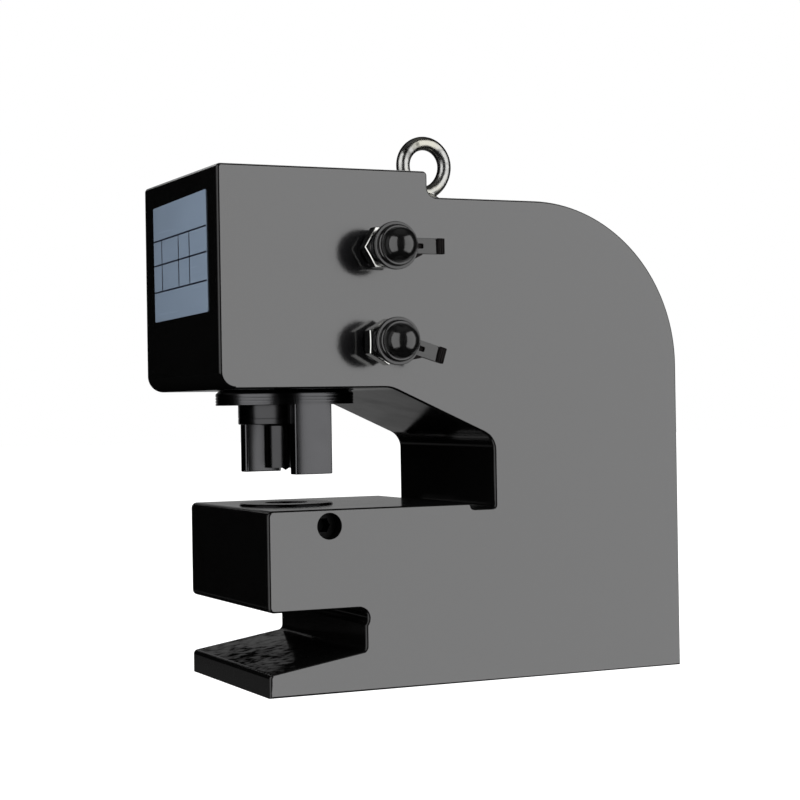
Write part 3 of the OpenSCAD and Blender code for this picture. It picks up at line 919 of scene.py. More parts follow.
@dataclass(frozen=True)
class ZincSteel(BaseFinish):
    """Bright zinc on a forging, with dark streaks and a pale yellow cast."""

    streak_colour: Colour = (0.045, 0.045, 0.042)
    cast_colour: Colour = (0.31, 0.3, 0.25)
    blotch_noise: Range = (55.0, 4.0)
    blotch_range: Range = (0.5, 0.68)
    blotch_share: float = 0.55
    streak_range: Range = (0.55, 0.7)
    streak_share: float = 0.8
    streak_scale: Triple = (60.0, 160.0, 60.0)
    streak_detail: float = 5.0
    cast_noise: float = 35.0
    cast_range: Range = (0.48, 0.7)
    cast_share: float = 0.7
    skin_noise: Range = (130.0, 2.0)
    pit_noise: float = 700.0
    pit_share: float = 0.25
    skin_strength: float = 0.5
    skin_depth: float = 0.0006

    def detail(self, coat: Coat) -> None:
        """Streaks and blotches of tone over a slightly uneven forged skin.

        Args:
            coat: the material's nodes.
        """
        shader, spot = coat.shader, coat.spot
        blotch = shader.spread(shader.noise(spot, *self.blotch_noise), *self.blotch_range)
        streaks = shader.noise(
            shader.mapped(spot, "Scale", self.streak_scale), 1.0, self.streak_detail
        )
        streak = shader.spread(streaks, *self.streak_range)
        yellow = shader.spread(
            shader.noise(spot, self.cast_noise), *self.cast_range, 0.0, self.cast_share
        )
        bright = shader.blend(yellow, shaded(self.colour, 1.0), shaded(self.cast_colour, 1.0))
        blotch = shader.math("MULTIPLY", blotch, self.blotch_share)
        streak = shader.math("MULTIPLY", streak, self.streak_share)
        dark = shader.math("MAXIMUM", blotch, streak)
        coat.paint(shader.blend(dark, bright, shaded(self.streak_colour, 1.0)))
        pits = shader.math("MULTIPLY", shader.noise(spot, self.pit_noise), self.pit_share)
        uneven = shader.math("ADD", shader.noise(spot, *self.skin_noise), pits)
        coat.relief(uneven, self.skin_strength, self.skin_depth)


@dataclass(frozen=True)
class MouldedRubber(BaseFinish):
    """Glossy moulded rubber: a little dust in the tone, and a very fine grain."""

    tones: Range = (0.8, 1.5)
    grain: Triple = (1500.0, 2.0, 0.08)


@dataclass(frozen=True)
class PrintedSheet(BaseFinish):
    """A printed sheet: a plain ground with a faint cloudiness and fine scratches."""

    tones: Range = (0.93, 1.05)
    scratch_tone: float = 1.3
    scratch_range: Range = (0.62, 0.72)
    scratch_share: float = 0.35
    scratch_scale: Triple = (300.0, 12.0, 300.0)
    scratch_detail: float = 4.0
    scratch_relief: float = 0.05

    def detail(self, coat: Coat) -> None:
        """A cloudy ground with fine scratches along the sheet.

        Args:
            coat: the material's nodes.
        """
        shader = coat.shader
        stretched = shader.mapped(coat.spot, "Scale", self.scratch_scale)
        lines = shader.noise(stretched, 1.0, self.scratch_detail)
        scratch = shader.spread(lines, *self.scratch_range, 0.0, self.scratch_share)
        ground = coat.clouded(self.colour, self.tones)
        coat.paint(shader.blend(scratch, ground, shaded(self.colour, self.scratch_tone)))
        coat.relief(lines, self.scratch_relief)


@dataclass(frozen=True)
class RulingInk:
    """Dark blue-black printing ink, worn paler in spots."""

    colour: Colour = (0.006, 0.008, 0.018)
    worn_colour: Colour = (0.03, 0.04, 0.06)
    roughness: float = 0.4
    wear_noise: float = 220.0
    wear_range: Range = (0.55, 0.8)
    wear_share: float = 0.5

    def build(self, name: str) -> Material:
        """Builds the material.

        Args:
            name: the material's name.

        Returns:
            The material.
        """
        material, shader, principled = new_material(name)
        spot = shader.add("ShaderNodeTexCoord").outputs["Object"]
        worn = shader.noise(spot, self.wear_noise)
        wear = shader.spread(worn, *self.wear_range, 0.0, self.wear_share)
        tone = shader.blend(wear, shaded(self.colour, 1.0), shaded(self.worn_colour, 1.0))
        shader.join(tone, principled.inputs["Base Color"])
        principled.inputs["Roughness"].default_value = self.roughness
        return material


FINISHES: dict[Finish, BaseFinish] = {
    Finish.FRAME_PAINT: SprayedPaint(
        (0.0018, 0.0018, 0.0018), 0.14, ior=1.7, smudge=0.05, smudge_scale=5.0
    ),
    Finish.BLACK_STEEL: TurnedSteel((0.05, 0.05, 0.052), 0.22, metallic=1.0, marks=0.15),
    Finish.TOOL_STEEL: TurnedSteel((0.03, 0.03, 0.031), 0.2, metallic=1.0, marks=0.1),
    Finish.MACHINED: TurnedSteel((0.5, 0.5, 0.52), 0.3, metallic=1.0, marks=0.25),
    Finish.POLISHED: TurnedSteel((0.7, 0.71, 0.73), 0.12, metallic=1.0, marks=0.04),
    Finish.BRONZE: TurnedSteel((0.55, 0.36, 0.16), 0.32, metallic=1.0),
    Finish.SEAL: MouldedRubber((0.005, 0.004, 0.004), 0.75, ior=1.2),
    Finish.ZINC: ZincSteel((0.27, 0.27, 0.262), 0.26, metallic=1.0, smudge=0.14, smudge_scale=40.0),
    Finish.COUPLER: TurnedSteel(
        (0.5, 0.5, 0.48), 0.2, metallic=1.0, tones=(0.5, 1.15), marks=0.15, out_of_side=True
    ),
    Finish.SPRING: BaseFinish((0.5, 0.5, 0.52), 0.3, metallic=1.0),
    Finish.CAP: MouldedRubber((0.004, 0.004, 0.004), 0.17, ior=1.5, smudge=0.06, smudge_scale=40.0),
    Finish.PLATE: PrintedSheet((0.165, 0.215, 0.285), 0.5, smudge=0.05, smudge_scale=30.0),
}


def build_materials(effects: SharedEffects) -> Materials:
    """Builds the material of each finish, named after its slot."""
    return {finish: data.build(finish.value, effects) for finish, data in FINISHES.items()}


@dataclass
class FramePlate:
    """The thick plate: its side outline, its bores and its rounded rims."""

    width: float = 203.0
    head_top: float = 457.0
    head_front: float = 98.4
    head_rear: float = 99.6
    body_top: float = 434.0
    back: float = 358.0
    rear_r: float = 150.0
    head_low_r: float = 15.0
    head_top_r: float = 4.0
    step_r: float = 9.0
    head_bottom: float = 265.0
    table: float = 160.2
    throat: float = 162.4
    slope_from: float = 61.0
    slope_deg: float = 24.4
    slope_r: float = 28.0
    throat_r: float = 18.0
    relief_w: float = 22.7
    relief_d: float = 5.0
    relief_r: float = 3.0
    jaw_front: float = 57.3
    jaw_bottom: float = 72.6
    slot_back: float = 33.0
    foot_front: float = 20.3
    foot_rear: float = 35.0
    jaw_r: float = 5.3
    foot_r: float = 4.3
    slot_relief_r: float = 9.0
    slot_relief_out: float = 2.4
    slot_low_r: float = 5.0
    rim_r: float = 2.6
    bore_r: float = 55.0
    bore_top: float = 392.0
    mouth_r: float = 59.0
    gland_top: float = 298.5
    spot_face_r: float = 63.4
    spot_face_low: float = 251.4
    seat_r: float = 42.6
    seat_depth: float = 30.0
    slug_r: float = 26.0
    screw_hole_r: float = 11.5
    screw_mouth: float = 0.2
    screw_z: float = 145.4
    port_x: float = 49.0
    port_heights: tuple[float, float] = (386.5, 304.4)
    port_r: float = 8.3
    port_depth: float = 18.0
    oil_r: float = 4.5
    oil_end: float = 18.0
    eye_x: float = 145.0
    eye_hole_r: float = 6.05
    eye_hole_depth: float = 28.0
    mouth_chamfer: float = 0.7
    past: float = 1.0
    pocket_steps: int = 18
    rim_steps: int = 7
    bore_steps: int = 160
    hole_steps: int = 64
    eye_steps: int = 48

    def outline(self) -> np.ndarray:
        """The side outline in X and Z, anticlockwise, with its corners rounded.

        The slope ends where it has dropped by its length times the tangent of its angle. The slot's
        lobe is an arc from its roof round to where it meets the slot's back.

        Returns:
            The outline's points.
        """
        drop = math.tan(math.radians(self.slope_deg))
        roof_end = self.head_bottom - (self.throat - self.slope_from) * drop
        groove = self.table - self.relief_d
        groove_x = self.throat - self.relief_w
        centre = (
            self.slot_back + self.slot_relief_out - self.slot_relief_r,
            self.jaw_bottom - self.slot_relief_r,
        )
        end = math.degrees(math.acos((self.slot_back - centre[0]) / self.slot_relief_r))
        lobe = arc(centre, self.slot_relief_r, 90.0, -end, self.pocket_steps)
        corners = [
            (-self.jaw_front, 0.0, 0.0),
            (self.back, 0.0, 0.0),
            (self.back, self.body_top, self.rear_r),
            (self.head_rear, self.body_top, self.step_r),
            (self.head_rear, self.head_top, self.head_top_r),
            (-self.head_front, self.head_top, self.head_top_r),
            (-self.head_front, self.head_bottom, self.head_low_r),
            (self.slope_from, self.head_bottom, self.slope_r),
            (self.throat, roof_end, self.throat_r),
            (self.throat, groove, self.relief_r),
            (groove_x, groove, self.relief_r),
            (groove_x - self.relief_d / 2, self.table, 0.0),
            (-self.jaw_front, self.table, self.jaw_r),
            (-self.jaw_front, self.jaw_bottom, self.jaw_r),
            *((x, z, 0.0) for x, z in lobe),
            (self.slot_back, self.foot_rear, self.slot_low_r),
            (-self.jaw_front, self.foot_front, self.foot_r),
        ]
        return rounded(corners)

    def upright(self, radius: float, low: float, high: float) -> Surface:
        """A cutter about the punch axis."""
        return cylinder(radius, low, high, self.bore_steps)

    def from_side(
        self, x: float, z: float, radius: float, start: float, end: float, chamfer: float = 0.0
    ) -> Surface:
        """A cutter across the plate, between two distances from its middle towards the couplers.

        Args:
            x: place of its axis along the plate.
            z: height of its axis.
            radius: its radius.
            start: where it starts.
            end: where it ends.
            chamfer: how far it flares where it leaves the plate.

        Returns:
            The closed cutter.
        """
        face = self.width / 2
        profile = [[0, start], [radius, start]]
        if chamfer:
            flare = radius + chamfer + self.past
            profile += [[radius, face - chamfer], [flare, face + self.past]]
        profile += [[profile[-1][0], end], [0, end]]
        return revolve(np.array(profile), self.hole_steps, False).placed(
            (x, 0, z), Axis.OUT_OF_SIDE
        )

    def cutters(self) -> list[Surface]:
        """Every bore and hole of the plate: cylinder, die seat, slug passage, screw, eye and ports.

        Returns:
            The closed cutters.
        """
        past, lip = self.past, self.mouth_chamfer
        side = self.width / 2
        seat = self.table - self.seat_depth
        die_seat = np.array([
            [0, seat], [self.seat_r, seat], [self.seat_r, self.table - lip],
            [self.seat_r + lip + past, self.table + past], [0, self.table + past],
        ])
        eye_low, eye_high = self.body_top - self.eye_hole_depth, self.body_top + past
        eye_hole = cylinder(self.eye_hole_r, eye_low, eye_high, self.eye_steps)
        holes = [
            self.upright(self.spot_face_r, self.spot_face_low, self.head_bottom),
            self.upright(self.mouth_r, self.spot_face_low, self.gland_top),
            self.upright(self.bore_r, self.gland_top - past, self.bore_top),
            revolve(die_seat, self.bore_steps, False),
            self.upright(self.slug_r, self.jaw_bottom - past, seat + past),
            self.from_side(
                0.0, self.screw_z, self.screw_hole_r, 0.0, side + 2 * past, self.screw_mouth
            ),
            eye_hole.placed((self.eye_x, 0, 0)),
        ]
        for z in self.port_heights:
            port = (self.port_r, side - self.port_depth, side + 2 * past)
            oil = (self.oil_r, self.oil_end, side - 2 * past)
            holes += [self.from_side(self.port_x, z, *hole) for hole in (port, oil)]
        return holes

    def build(self, materials: Materials) -> Object:
        """Makes the plate and dresses it.

        Args:
            materials: the built materials.

        Returns:
            The plate.
        """
        flat = prism(self.outline(), -self.width / 2, self.width / 2, self.rim_r, self.rim_steps)
        obj = make_object("frame_plate", flat.placed((0, 0, 0), Axis.OUT_OF_SIDE))
        cut(obj, self.cutters())
        smooth_by_angle(obj)
        weigh_normals(obj)
        return dress(obj, Body.FRAME, Finish.FRAME_PAINT, materials, "c_frame")


@dataclass
class PressTools:
    """What hangs under the head and lies in the jaw: stripper, punch nut, punch and die."""

    sleeve_r: float = 62.9
    sleeve_bore_r: float = 50.5
    sleeve_top: float = 265.0
    sleeve_chamfer: float = 3.2
    sleeve_low_rims: Range = (0.4, 0.6)
    sleeve_top_rims: Range = (0.4, 0.3)
    sleeve_gap: float = 0.2
    sleeve_low: float = 251.4
    leg_end: float = 189.4
    leg_half: float = 18.2
    leg_corner_r: float = 2.0
    leg_rim_r: float = 0.9
    leg_root: float = 1.0
    leg_steps: int = 6
    sleeve_turn: float = 3.6
    groove_low: float = 253.6
    groove_pitch: float = 2.6
    groove_w: float = 0.8
    groove_d: float = 0.5
    groove_rim_r: float = 0.15
    grooves: int = 3
    nut_r: float = 42.6
    nut_low: float = 233.9
    nut_top: float = 261.9
    nut_lip: float = 5.0
    line_rise: float = 5.0
    line_w: float = 0.8
    line_d: float = 0.3
    line_bevel: float = 0.2
    line_rim_r: float = 0.1
    nut_rim_r: float = 1.0
    nut_bore_rim_r: float = 0.5
    seat_rim_r: float = 0.3
    spanner_r: float = 3.5
    spanner_depth: float = 5.0
    spanner_turns: Range = (-60.0, 120.0)
    spanner_past: float = 1.0
    spanner_steps: int = 40
    head_t: float = 6.0
    head_seat_r: float = 30.2
    head_r: float = 30.0
    ram_r: float = 35.05
    stem_r: float = 23.3
    stem_hole_r: float = 23.5
    stem_cone: float = 1.5
    punch_r: float = 19.3
    punch_face: float = 194.3
    pip_r: float = 4.0
    pip_h: float = 2.4
    pip_flat_r: float = 0.3
    pip_root_r: float = 0.3
    cutting_rim_r: float = 0.15
    stem_rim_r: float = 0.3
    head_rims: Range = (0.4, 0.3)
    die_r: float = 42.5
    die_low: float = 130.2
    die_top: float = 162.2
    die_edge: float = 0.8
    die_hole_r: float = 19.75
    die_land: float = 8.0
    die_relief_r: float = 22.0
    die_cut_rim_r: float = 0.12
    die_edge_rim_r: float = 0.2
    die_low_rims: Range = (0.6, 0.3)
    round_steps: int = 160
    punch_steps: int = 128
    sleeve_steps: int = 192

    def sleeve_ring(self) -> Surface:
        """The stripper's ring: a closed ring profile with a chamfered top and fine grooves outside.

        Returns:
            The closed surface.
        """
        bore, wall, bevel = self.sleeve_bore_r, self.sleeve_r, self.sleeve_chamfer
        bore_rim, wall_rim = self.sleeve_low_rims
        corners: list[Corner] = [
            (bore, self.sleeve_low, bore_rim), (wall, self.sleeve_low, wall_rim)
        ]
        for step in range(self.grooves):
            low = self.groove_low + step * self.groove_pitch - self.groove_w / 2
            high, inner = low + self.groove_w, wall - self.groove_d
            corners += [
                (wall, low, self.groove_rim_r), (inner, low, 0.0),
                (inner, high, 0.0), (wall, high, self.groove_rim_r),
            ]
        top = self.sleeve_top - self.sleeve_gap
        low_rim, high_rim = self.sleeve_top_rims
        corners += [(wall, top - bevel, low_rim), (wall - bevel, top, high_rim), (bore, top, 0.0)]
        ring = revolve(rounded(corners, step_deg=EDGE_ARC), self.sleeve_steps)
        return ring.placed((0, 0, 0), turn_deg=self.sleeve_turn)

    def sleeve_leg(self, facing: float) -> Surface:
        """One leg: the part of the sleeve's wall between two parallel cuts, with rounded ends.

        Args:
            facing: the direction that the leg stands in, in degrees from +X.

        Returns:
            The closed surface.
        """
        steps = self.leg_steps
        outer, inner = (
            math.degrees(math.asin(self.leg_half / r)) for r in (self.sleeve_r, self.sleeve_bore_r)
        )
        outline = np.vstack([
            arc((0, 0), self.sleeve_r, -outer, outer, steps),
            arc((0, 0), self.sleeve_bore_r, inner, -inner, steps),
        ])
        ends = (0, steps, steps + 1, 2 * steps + 1)
        corners = [
            (x, y, self.leg_corner_r if i in ends else 0.0) for i, (x, y) in enumerate(outline)
        ]
        low, high = self.leg_end, self.sleeve_low + self.leg_root
        leg = prism(rounded(corners, step_deg=WIDE_ARC), low, high, self.leg_rim_r, 4)
        return leg.placed((0, 0, 0), turn_deg=facing + self.sleeve_turn)

    def punch_nut(self) -> Surface:
        """The punch nut: a cup with a lip, its rims broken and a fine line above its lower rim.

        Returns:
            The closed surface.
        """
        seat = self.nut_low + self.nut_lip
        floor = seat + self.head_t
        line, line_top = self.nut_low + self.line_rise, self.nut_low + self.line_rise + self.line_w
        inner, bevel = self.nut_r - self.line_d, self.line_bevel
        corners = [
            (self.stem_hole_r, self.nut_low, self.nut_bore_rim_r),
            (self.nut_r, self.nut_low, self.nut_rim_r),
            (self.nut_r, line, self.line_rim_r), (inner, line + bevel, 0.0),
            (inner, line_top - bevel, 0.0), (self.nut_r, line_top, self.line_rim_r),
            (self.nut_r, self.nut_top, self.nut_rim_r),
            (self.ram_r, self.nut_top, self.nut_bore_rim_r),
            (self.ram_r, floor, 0.0), (self.head_seat_r, floor, 0.0),
            (self.head_seat_r, seat, 0.0), (self.stem_hole_r, seat, self.seat_rim_r),
        ]
        return revolve(rounded(corners, step_deg=EDGE_ARC), self.round_steps)

    def spanner_hole(self, turn: float) -> Surface:
        """A cutter for one spanner hole.

        Args:
            turn: its turn about the punch axis, in degrees.

        Returns:
            The closed cutter.
        """
        inner, outer = self.nut_r - self.spanner_depth, self.nut_r + self.spanner_past
        hole = cylinder(self.spanner_r, inner, outer, self.spanner_steps)
        middle = (self.nut_low + self.nut_top) / 2
        return hole.placed((0, 0, 0), Axis.ALONG_X).placed((0, 0, middle), turn_deg=turn)

    def punch(self) -> Surface:
        """The punch: a cone-shaped pip, its cutting face, body, stem and head, all turned.

        Returns:
            The closed surface.
        """
        floor, pip_low = self.nut_low + self.nut_lip, self.punch_face - self.pip_h
        head_top, cone_low = floor + self.head_t, self.nut_low - self.stem_cone
        low_rim, high_rim = self.head_rims
        corners = [
            (0.0, pip_low, 0.0), (self.pip_flat_r, pip_low, 0.0),
            (self.pip_r, self.punch_face, self.pip_root_r),
            (self.punch_r, self.punch_face, self.cutting_rim_r),
            (self.punch_r, cone_low, self.stem_rim_r), (self.stem_r, self.nut_low, 0.0),
            (self.stem_r, floor, self.stem_rim_r), (self.head_r, floor, low_rim),
            (self.head_r, head_top, high_rim), (0.0, head_top, 0.0),
        ]
        return revolve(rounded(corners, closed=False, step_deg=EDGE_ARC), self.punch_steps, False)

    def die(self) -> Surface:
        """The die: a ring with a sharp cutting hole, a relief below it and a chamfered rim.

        Returns:
            The closed surface.
        """
        land, edge, rim = self.die_top - self.die_land, self.die_edge, self.die_edge_rim_r
        wall_rim, relief_rim = self.die_low_rims
        corners = [
            (self.die_hole_r, land, 0.0), (self.die_hole_r, self.die_top, self.die_cut_rim_r),
            (self.die_r - edge, self.die_top, rim), (self.die_r, self.die_top - edge, rim),
            (self.die_r, self.die_low, wall_rim), (self.die_relief_r, self.die_low, relief_rim),
            (self.die_relief_r, land, 0.0),
        ]
        return revolve(rounded(corners, step_deg=EDGE_ARC), self.round_steps)

    def build(self, materials: Materials, die_steel: Material) -> None:
        """Makes the tools and dresses them.

        Args:
            materials: the built materials.
            die_steel: the die's own steel.
        """
        ring = make_object("stripper_ring", self.sleeve_ring())
        dress(ring, Body.FRAME, Finish.BLACK_STEEL, materials, "stripper_sleeve")
        legs = make_object("stripper_legs", self.sleeve_leg(-90.0).joined(self.sleeve_leg(90.0)))
        weigh_normals(legs)
        dress(legs, Body.FRAME, Finish.BLACK_STEEL, materials, "stripper_sleeve")
        nut = make_object("punch_nut_body", self.punch_nut())
        cut(nut, [self.spanner_hole(turn) for turn in self.spanner_turns])
        smooth_by_angle(nut)
        dress(nut, Body.RAM, Finish.TOOL_STEEL, materials, "punch_nut")
        dress(
            make_object("punch_body", self.punch()), Body.RAM, Finish.TOOL_STEEL, materials, "punch"
        )
        die = dress(
            make_object("die_body", self.die()), Body.DIE, Finish.TOOL_STEEL, materials, "die"
        )
        die.data.materials[0] = die_steel


@dataclass
class HoseCoupler:
    """One capped coupler: hexagon, barrel with its nose, and the rubber cap with its pull tab.

    Lengths along the coupler run outwards from its seat, which stands out of the frame's side.
    """

    name: str
    cap_body: Body
    height: float
    out: float
    hex_turn: float
    tab_turn: float
    port_x: float = 49.0
    side: float = 101.5
    hex_af: float = 35.0
    hex_low: float = 8.0
    hex_high: float = 21.0
    hex_step_deg: float = 3.0
    hex_sharp_deg: float = 20.0
    chamfer_slope: float = 0.25
    edge_bevel: float = 0.6
    bevel_slope: float = 1.25
    thread_r: float = 10.05
    barrel_r: float = 16.5
    barrel_end: float = 36.4
    barrel_sink: float = 0.5
    groove_first: float = 4.0
    groove_pitch: float = 2.4
    groove_w: float = 1.2
    groove_d: float = 0.8
    groove_slant: float = 0.1
    groove_rim_r: float = 0.2
    grooves: int = 4
    nose_r: float = 12.0
    nose_end: float = 53.0
    barrel_rim_r: float = 0.8
    nose_root_r: float = 0.4
    nose_rims: Range = (0.9, 0.4)
    chamber_r: float = 8.5
    chamber_end: float = 46.0
    spring_low: float = 16.3
    spring_high: float = 40.0
    spring_r: float = 5.9
    spring_wire_r: float = 0.8
    spring_turns: int = 6
    turn_steps: int = 24
    wire_sides: int = 10
    valve_travel: float = 4.0
    valve_hole_r: float = 5.5
    cap_start: float = 36.7
    cap_bore_r: float = 12.2
    cap_floor: float = 53.2
    cap_floor_r: float = 1.0
    cap_lip_r: float = 0.4
    flange_r: float = 20.75
    flange_t: float = 5.0
    flange_rims: Range = (1.0, 0.8)
    step_r: float = 18.0
    step_t: float = 4.4
    step_root_r: float = 0.3
    step_rim_r: float = 2.2
    dome_r: float = 15.2
    dome_l: float = 3.0
    dome_root_r: float = 0.4
    dome_steps: int = 20
    round_steps: int = 96
    tab_w: float = 13.8
    tab_root: float = 3.5
    tab_reach: float = 46.0
    tab_t: float = 3.0
    tab_corner_r: float = 0.8
    tab_rim_r: float = 0.5
    grip_l: float = 6.6
    grip_rise: float = 2.2
    grip_sink: float = 0.6
    grip_gap: float = 0.1
    grip_corner_r: float = 0.5
    grip_rim_r: float = 0.4
    ridges: int = 3
    ridge_first: float = 1.3
    ridge_pitch: float = 2.0
    ridge_w: float = 0.8
    ridge_d: float = 0.8
    ridge_r: float = 0.3
    valley_r: float = 0.2
    rubber_steps: int = 3
    slot_l: float = 5.0
    slot_w: float = 4.0
    slot_gap: float = 0.2
    skin: Range = (0.2, 1.0)
    skin_over: float = 0.5
    skin_ends: float = 1.0
    skin_rim_r: float = 0.1
    web: float = 5.0
    web_t: float = 2.6
    web_root: float = 0.5
    web_root_drop: float = 4.2
    web_bend: float = 1.5
    web_bend_drop: float = 3.8
    web_bend_r: float = 1.5
    web_tip_drop: float = 0.6
    web_tip_r: float = 0.8
    web_rise: float = 1.2
    web_inner: float = 1.5
    web_rim_r: float = 0.4

    def at_port(self, surface: Surface, turn: float = 0.0) -> Surface:
        """Places a surface on the port's axis, with its own +Z out of the frame's side.

        Args:
            surface: the surface.
            turn: its turn about the port's axis, in degrees.

        Returns:
            The placed surface.
        """
        return surface.placed(
            (self.port_x, -self.side - self.out, self.height), Axis.OUT_OF_SIDE, turn
        )

    def hexagon(self) -> Surface:
        """The hexagon, with bevelled rims and corners that a cone turns off.

        At angle a its flats lie at p = af / 2 / cos(a folded into -30..30 degrees). The cone
        lowers a rim by its slope times p's reach beyond the flats' own radius, and the bevel drops
        by its own slope times its width.

        Returns:
            The closed surface.
        """
        angle = np.radians(np.arange(0, 360, self.hex_step_deg))
        folded = (angle + math.pi / 6) % (math.pi / 3) - math.pi / 6
        flats = self.hex_af / 2 / np.cos(folded)
        rim = flats - self.edge_bevel
        drop = self.edge_bevel * self.bevel_slope
        inner = np.full_like(angle, self.hex_af / 2 - 2 * self.edge_bevel)
        fall = (flats - self.hex_af / 2) * self.chamfer_slope
        bore = np.full_like(angle, self.thread_r)
        low, high = self.hex_low + 0 * fall, self.hex_high + 0 * fall
        rows = [
            (bore, low), (inner, low), (rim, low + fall), (flats, low + fall + drop),
            (flats, high - fall - drop), (rim, high - fall), (inner, high), (bore, high),
        ]
        points = [np.column_stack([r * np.cos(angle), r * np.sin(angle), z]) for r, z in rows]
        return Surface(np.vstack(points), grid_faces(len(rows), len(angle), True, True).tolist())

    def barrel(self) -> Surface:
        """Barrel and nose: a closed profile with its grip grooves, nose, bore and valve hole.

        Returns:
            The closed surface.
        """
        root, slant = self.hex_high - self.barrel_sink, self.groove_slant
        wall, inner = self.barrel_r, self.barrel_r - self.groove_d
        corners: list[Corner] = [(self.thread_r, root, 0.0), (wall, root, 0.0)]
        for step in range(self.grooves):
            low = self.hex_high + self.groove_first + step * self.groove_pitch
            high = low + self.groove_w
            corners += [
                (wall, low, self.groove_rim_r),
                (inner, low + slant, self.groove_rim_r),
                (inner, high - slant, self.groove_rim_r),
                (wall, high, self.groove_rim_r),
            ]
        outer_rim, hole_rim = self.nose_rims
        corners += [
            (wall, self.barrel_end, self.barrel_rim_r),
            (self.nose_r, self.barrel_end, self.nose_root_r),
            (self.nose_r, self.nose_end, outer_rim), (self.valve_hole_r, self.nose_end, hole_rim),
            (self.valve_hole_r, self.chamber_end, 0.0), (self.chamber_r, self.chamber_end, 0.0),
            (self.chamber_r, root, 0.0),
        ]
        return revolve(rounded(corners, step_deg=EDGE_ARC), self.round_steps)

    def spring(self) -> Surface:
        """The valve spring: a circle of radius w carried up a helix of radius R.

        At angle a along the helix and b round the wire, the radius is R + w cos b, and the height
        is w + rise * a + w sin b above the spring's seat.

        Returns:
            The closed surface.
        """
        steps, sides = self.turn_steps * self.spring_turns, self.wire_sides
        wire = self.spring_wire_r
        along = np.linspace(0, 2 * math.pi * self.spring_turns, steps + 1)[:, None]
        across = np.linspace(0, 2 * math.pi, sides, endpoint=False)[None]
        radius = self.spring_r + wire * np.cos(across)
        rise = (self.spring_high - self.spring_low - 2 * wire) / along[-1, 0]
        height = self.spring_low + wire * (1 + np.sin(across)) + rise * along
        points = np.stack(
            [radius * np.cos(along), radius * np.sin(along), height], axis=-1
        ).reshape(-1, 3)
        last = steps * sides
        ends = [list(range(sides))[::-1], list(range(last, last + sides))]
        return Surface(points, grid_faces(steps + 1, sides, False, True).tolist() + ends)

    def cap(self) -> Surface:
        """The cap's shell: bore, flange, step and dome, turned round the axis.

        Returns:
            The closed surface.
        """
        start, step = self.cap_start, self.cap_start + self.flange_t
        dome = step + self.step_t
        ball = dome + self.dome_l
        near_rim, far_rim = self.flange_rims
        open_part = rounded(
            [
                (0.0, self.cap_floor, 0.0),
                (self.cap_bore_r, self.cap_floor, self.cap_floor_r),
                (self.cap_bore_r, start, self.cap_lip_r),
                (self.flange_r, start, near_rim),
                (self.flange_r, step, far_rim),
                (self.step_r, step, self.step_root_r),
                (self.step_r, dome, self.step_rim_r),
                (self.dome_r, dome, self.dome_root_r),
                (self.dome_r, ball, 0.0),
            ],
            closed=False,
            step_deg=WIDE_ARC,
        )
        ball_part = arc((0.0, ball), self.dome_r, 0.0, 90.0, self.dome_steps)[1:]
        ball_part[-1, 0] = 0.0
        return revolve(np.vstack([open_part, ball_part]), self.round_steps, False)

    def tab(self) -> Surface:
        """The pull tab: a flat tongue that leaves the flange in two arms round its slot.

        Returns:
            The closed surface.
        """
        root, half, slot = self.dome_r + self.tab_root, self.tab_w / 2, self.slot_w / 2
        slot_end = self.flange_r + self.slot_gap + self.slot_l
        corners = [
            (root, -half, 0.0),
            (self.tab_reach, -half, self.tab_corner_r),
            (self.tab_reach, half, self.tab_corner_r),
            (root, half, 0.0),
            (root, slot, 0.0),
            (slot_end, slot, self.tab_corner_r),
            (slot_end, -slot, self.tab_corner_r),
            (root, -slot, 0.0),
        ]
        low, high = self.cap_start, self.cap_start + self.tab_t
        return prism(
            rounded(corners, step_deg=TAB_ARC), low, high, self.tab_rim_r, self.rubber_steps
        )

    def grip(self) -> Surface:
        """The ridged grip at the tab's end: ridges side by side on a raised pad.

        Returns:
            The closed surface.
        """
        top = self.cap_start + self.tab_t
        low, high = top - self.grip_sink, top + self.grip_rise
        start, end = self.tab_reach - self.grip_l, self.tab_reach - self.grip_gap
        half = self.tab_w / 2 - self.grip_gap
        profile: list[Corner] = [
            (start, low, 0.0), (end, low, 0.0), (end, high, self.grip_corner_r)
        ]
        for step in range(self.ridges):
            x = self.tab_reach - self.ridge_first - step * self.ridge_pitch
            valley = (x - self.ridge_w / 2, high - self.ridge_d, self.valley_r)
            profile += [(x, high, self.ridge_r), valley, (x - self.ridge_w, high, self.ridge_r)]
        profile += [(start, high, self.grip_corner_r)]
        ridges = prism(
            rounded(profile, step_deg=EDGE_ARC), -half, half, self.grip_rim_r, self.rubber_steps
        )
        x, y, z = ridges.points.T
        return Surface(np.column_stack([x, -z, y]), ridges.faces)

    def slot_floor(self) -> Surface:
        """The thin skin left at the bottom of the tab's slot.

        Returns:
            The closed surface.
        """
        start, half = self.flange_r - self.skin_ends, self.slot_w / 2 + self.skin_over
        end = start + self.slot_l + 2 * self.skin_ends
        low, high = (self.cap_start + height for height in self.skin)
        outline = np.array([[start, -half], [end, -half], [end, half], [start, half]])
        return prism(outline, low, high, self.skin_rim_r, 1)

    def gusset(self) -> Surface:
        """The short web under the tab's root, a thin curved wedge from the flange's edge.

        Returns:
            The closed surface.
        """
        edge, tip = -self.tab_w / 2, self.flange_r + self.web
        corners = [
            (self.dome_r + self.web_root, edge - self.web_root_drop, 0.0),
            (self.flange_r - self.web_bend, edge - self.web_bend_drop, self.web_bend_r),
            (tip, edge - self.web_tip_drop, self.web_tip_r), (tip, edge + self.web_rise, 0.0),
            (self.dome_r + self.web_inner, edge + self.web_rise, 0.0),
        ]
        low, high = self.cap_start, self.cap_start + self.web_t
        return prism(
            rounded(corners, step_deg=TAB_ARC), low, high, self.web_rim_r, self.rubber_steps
        )

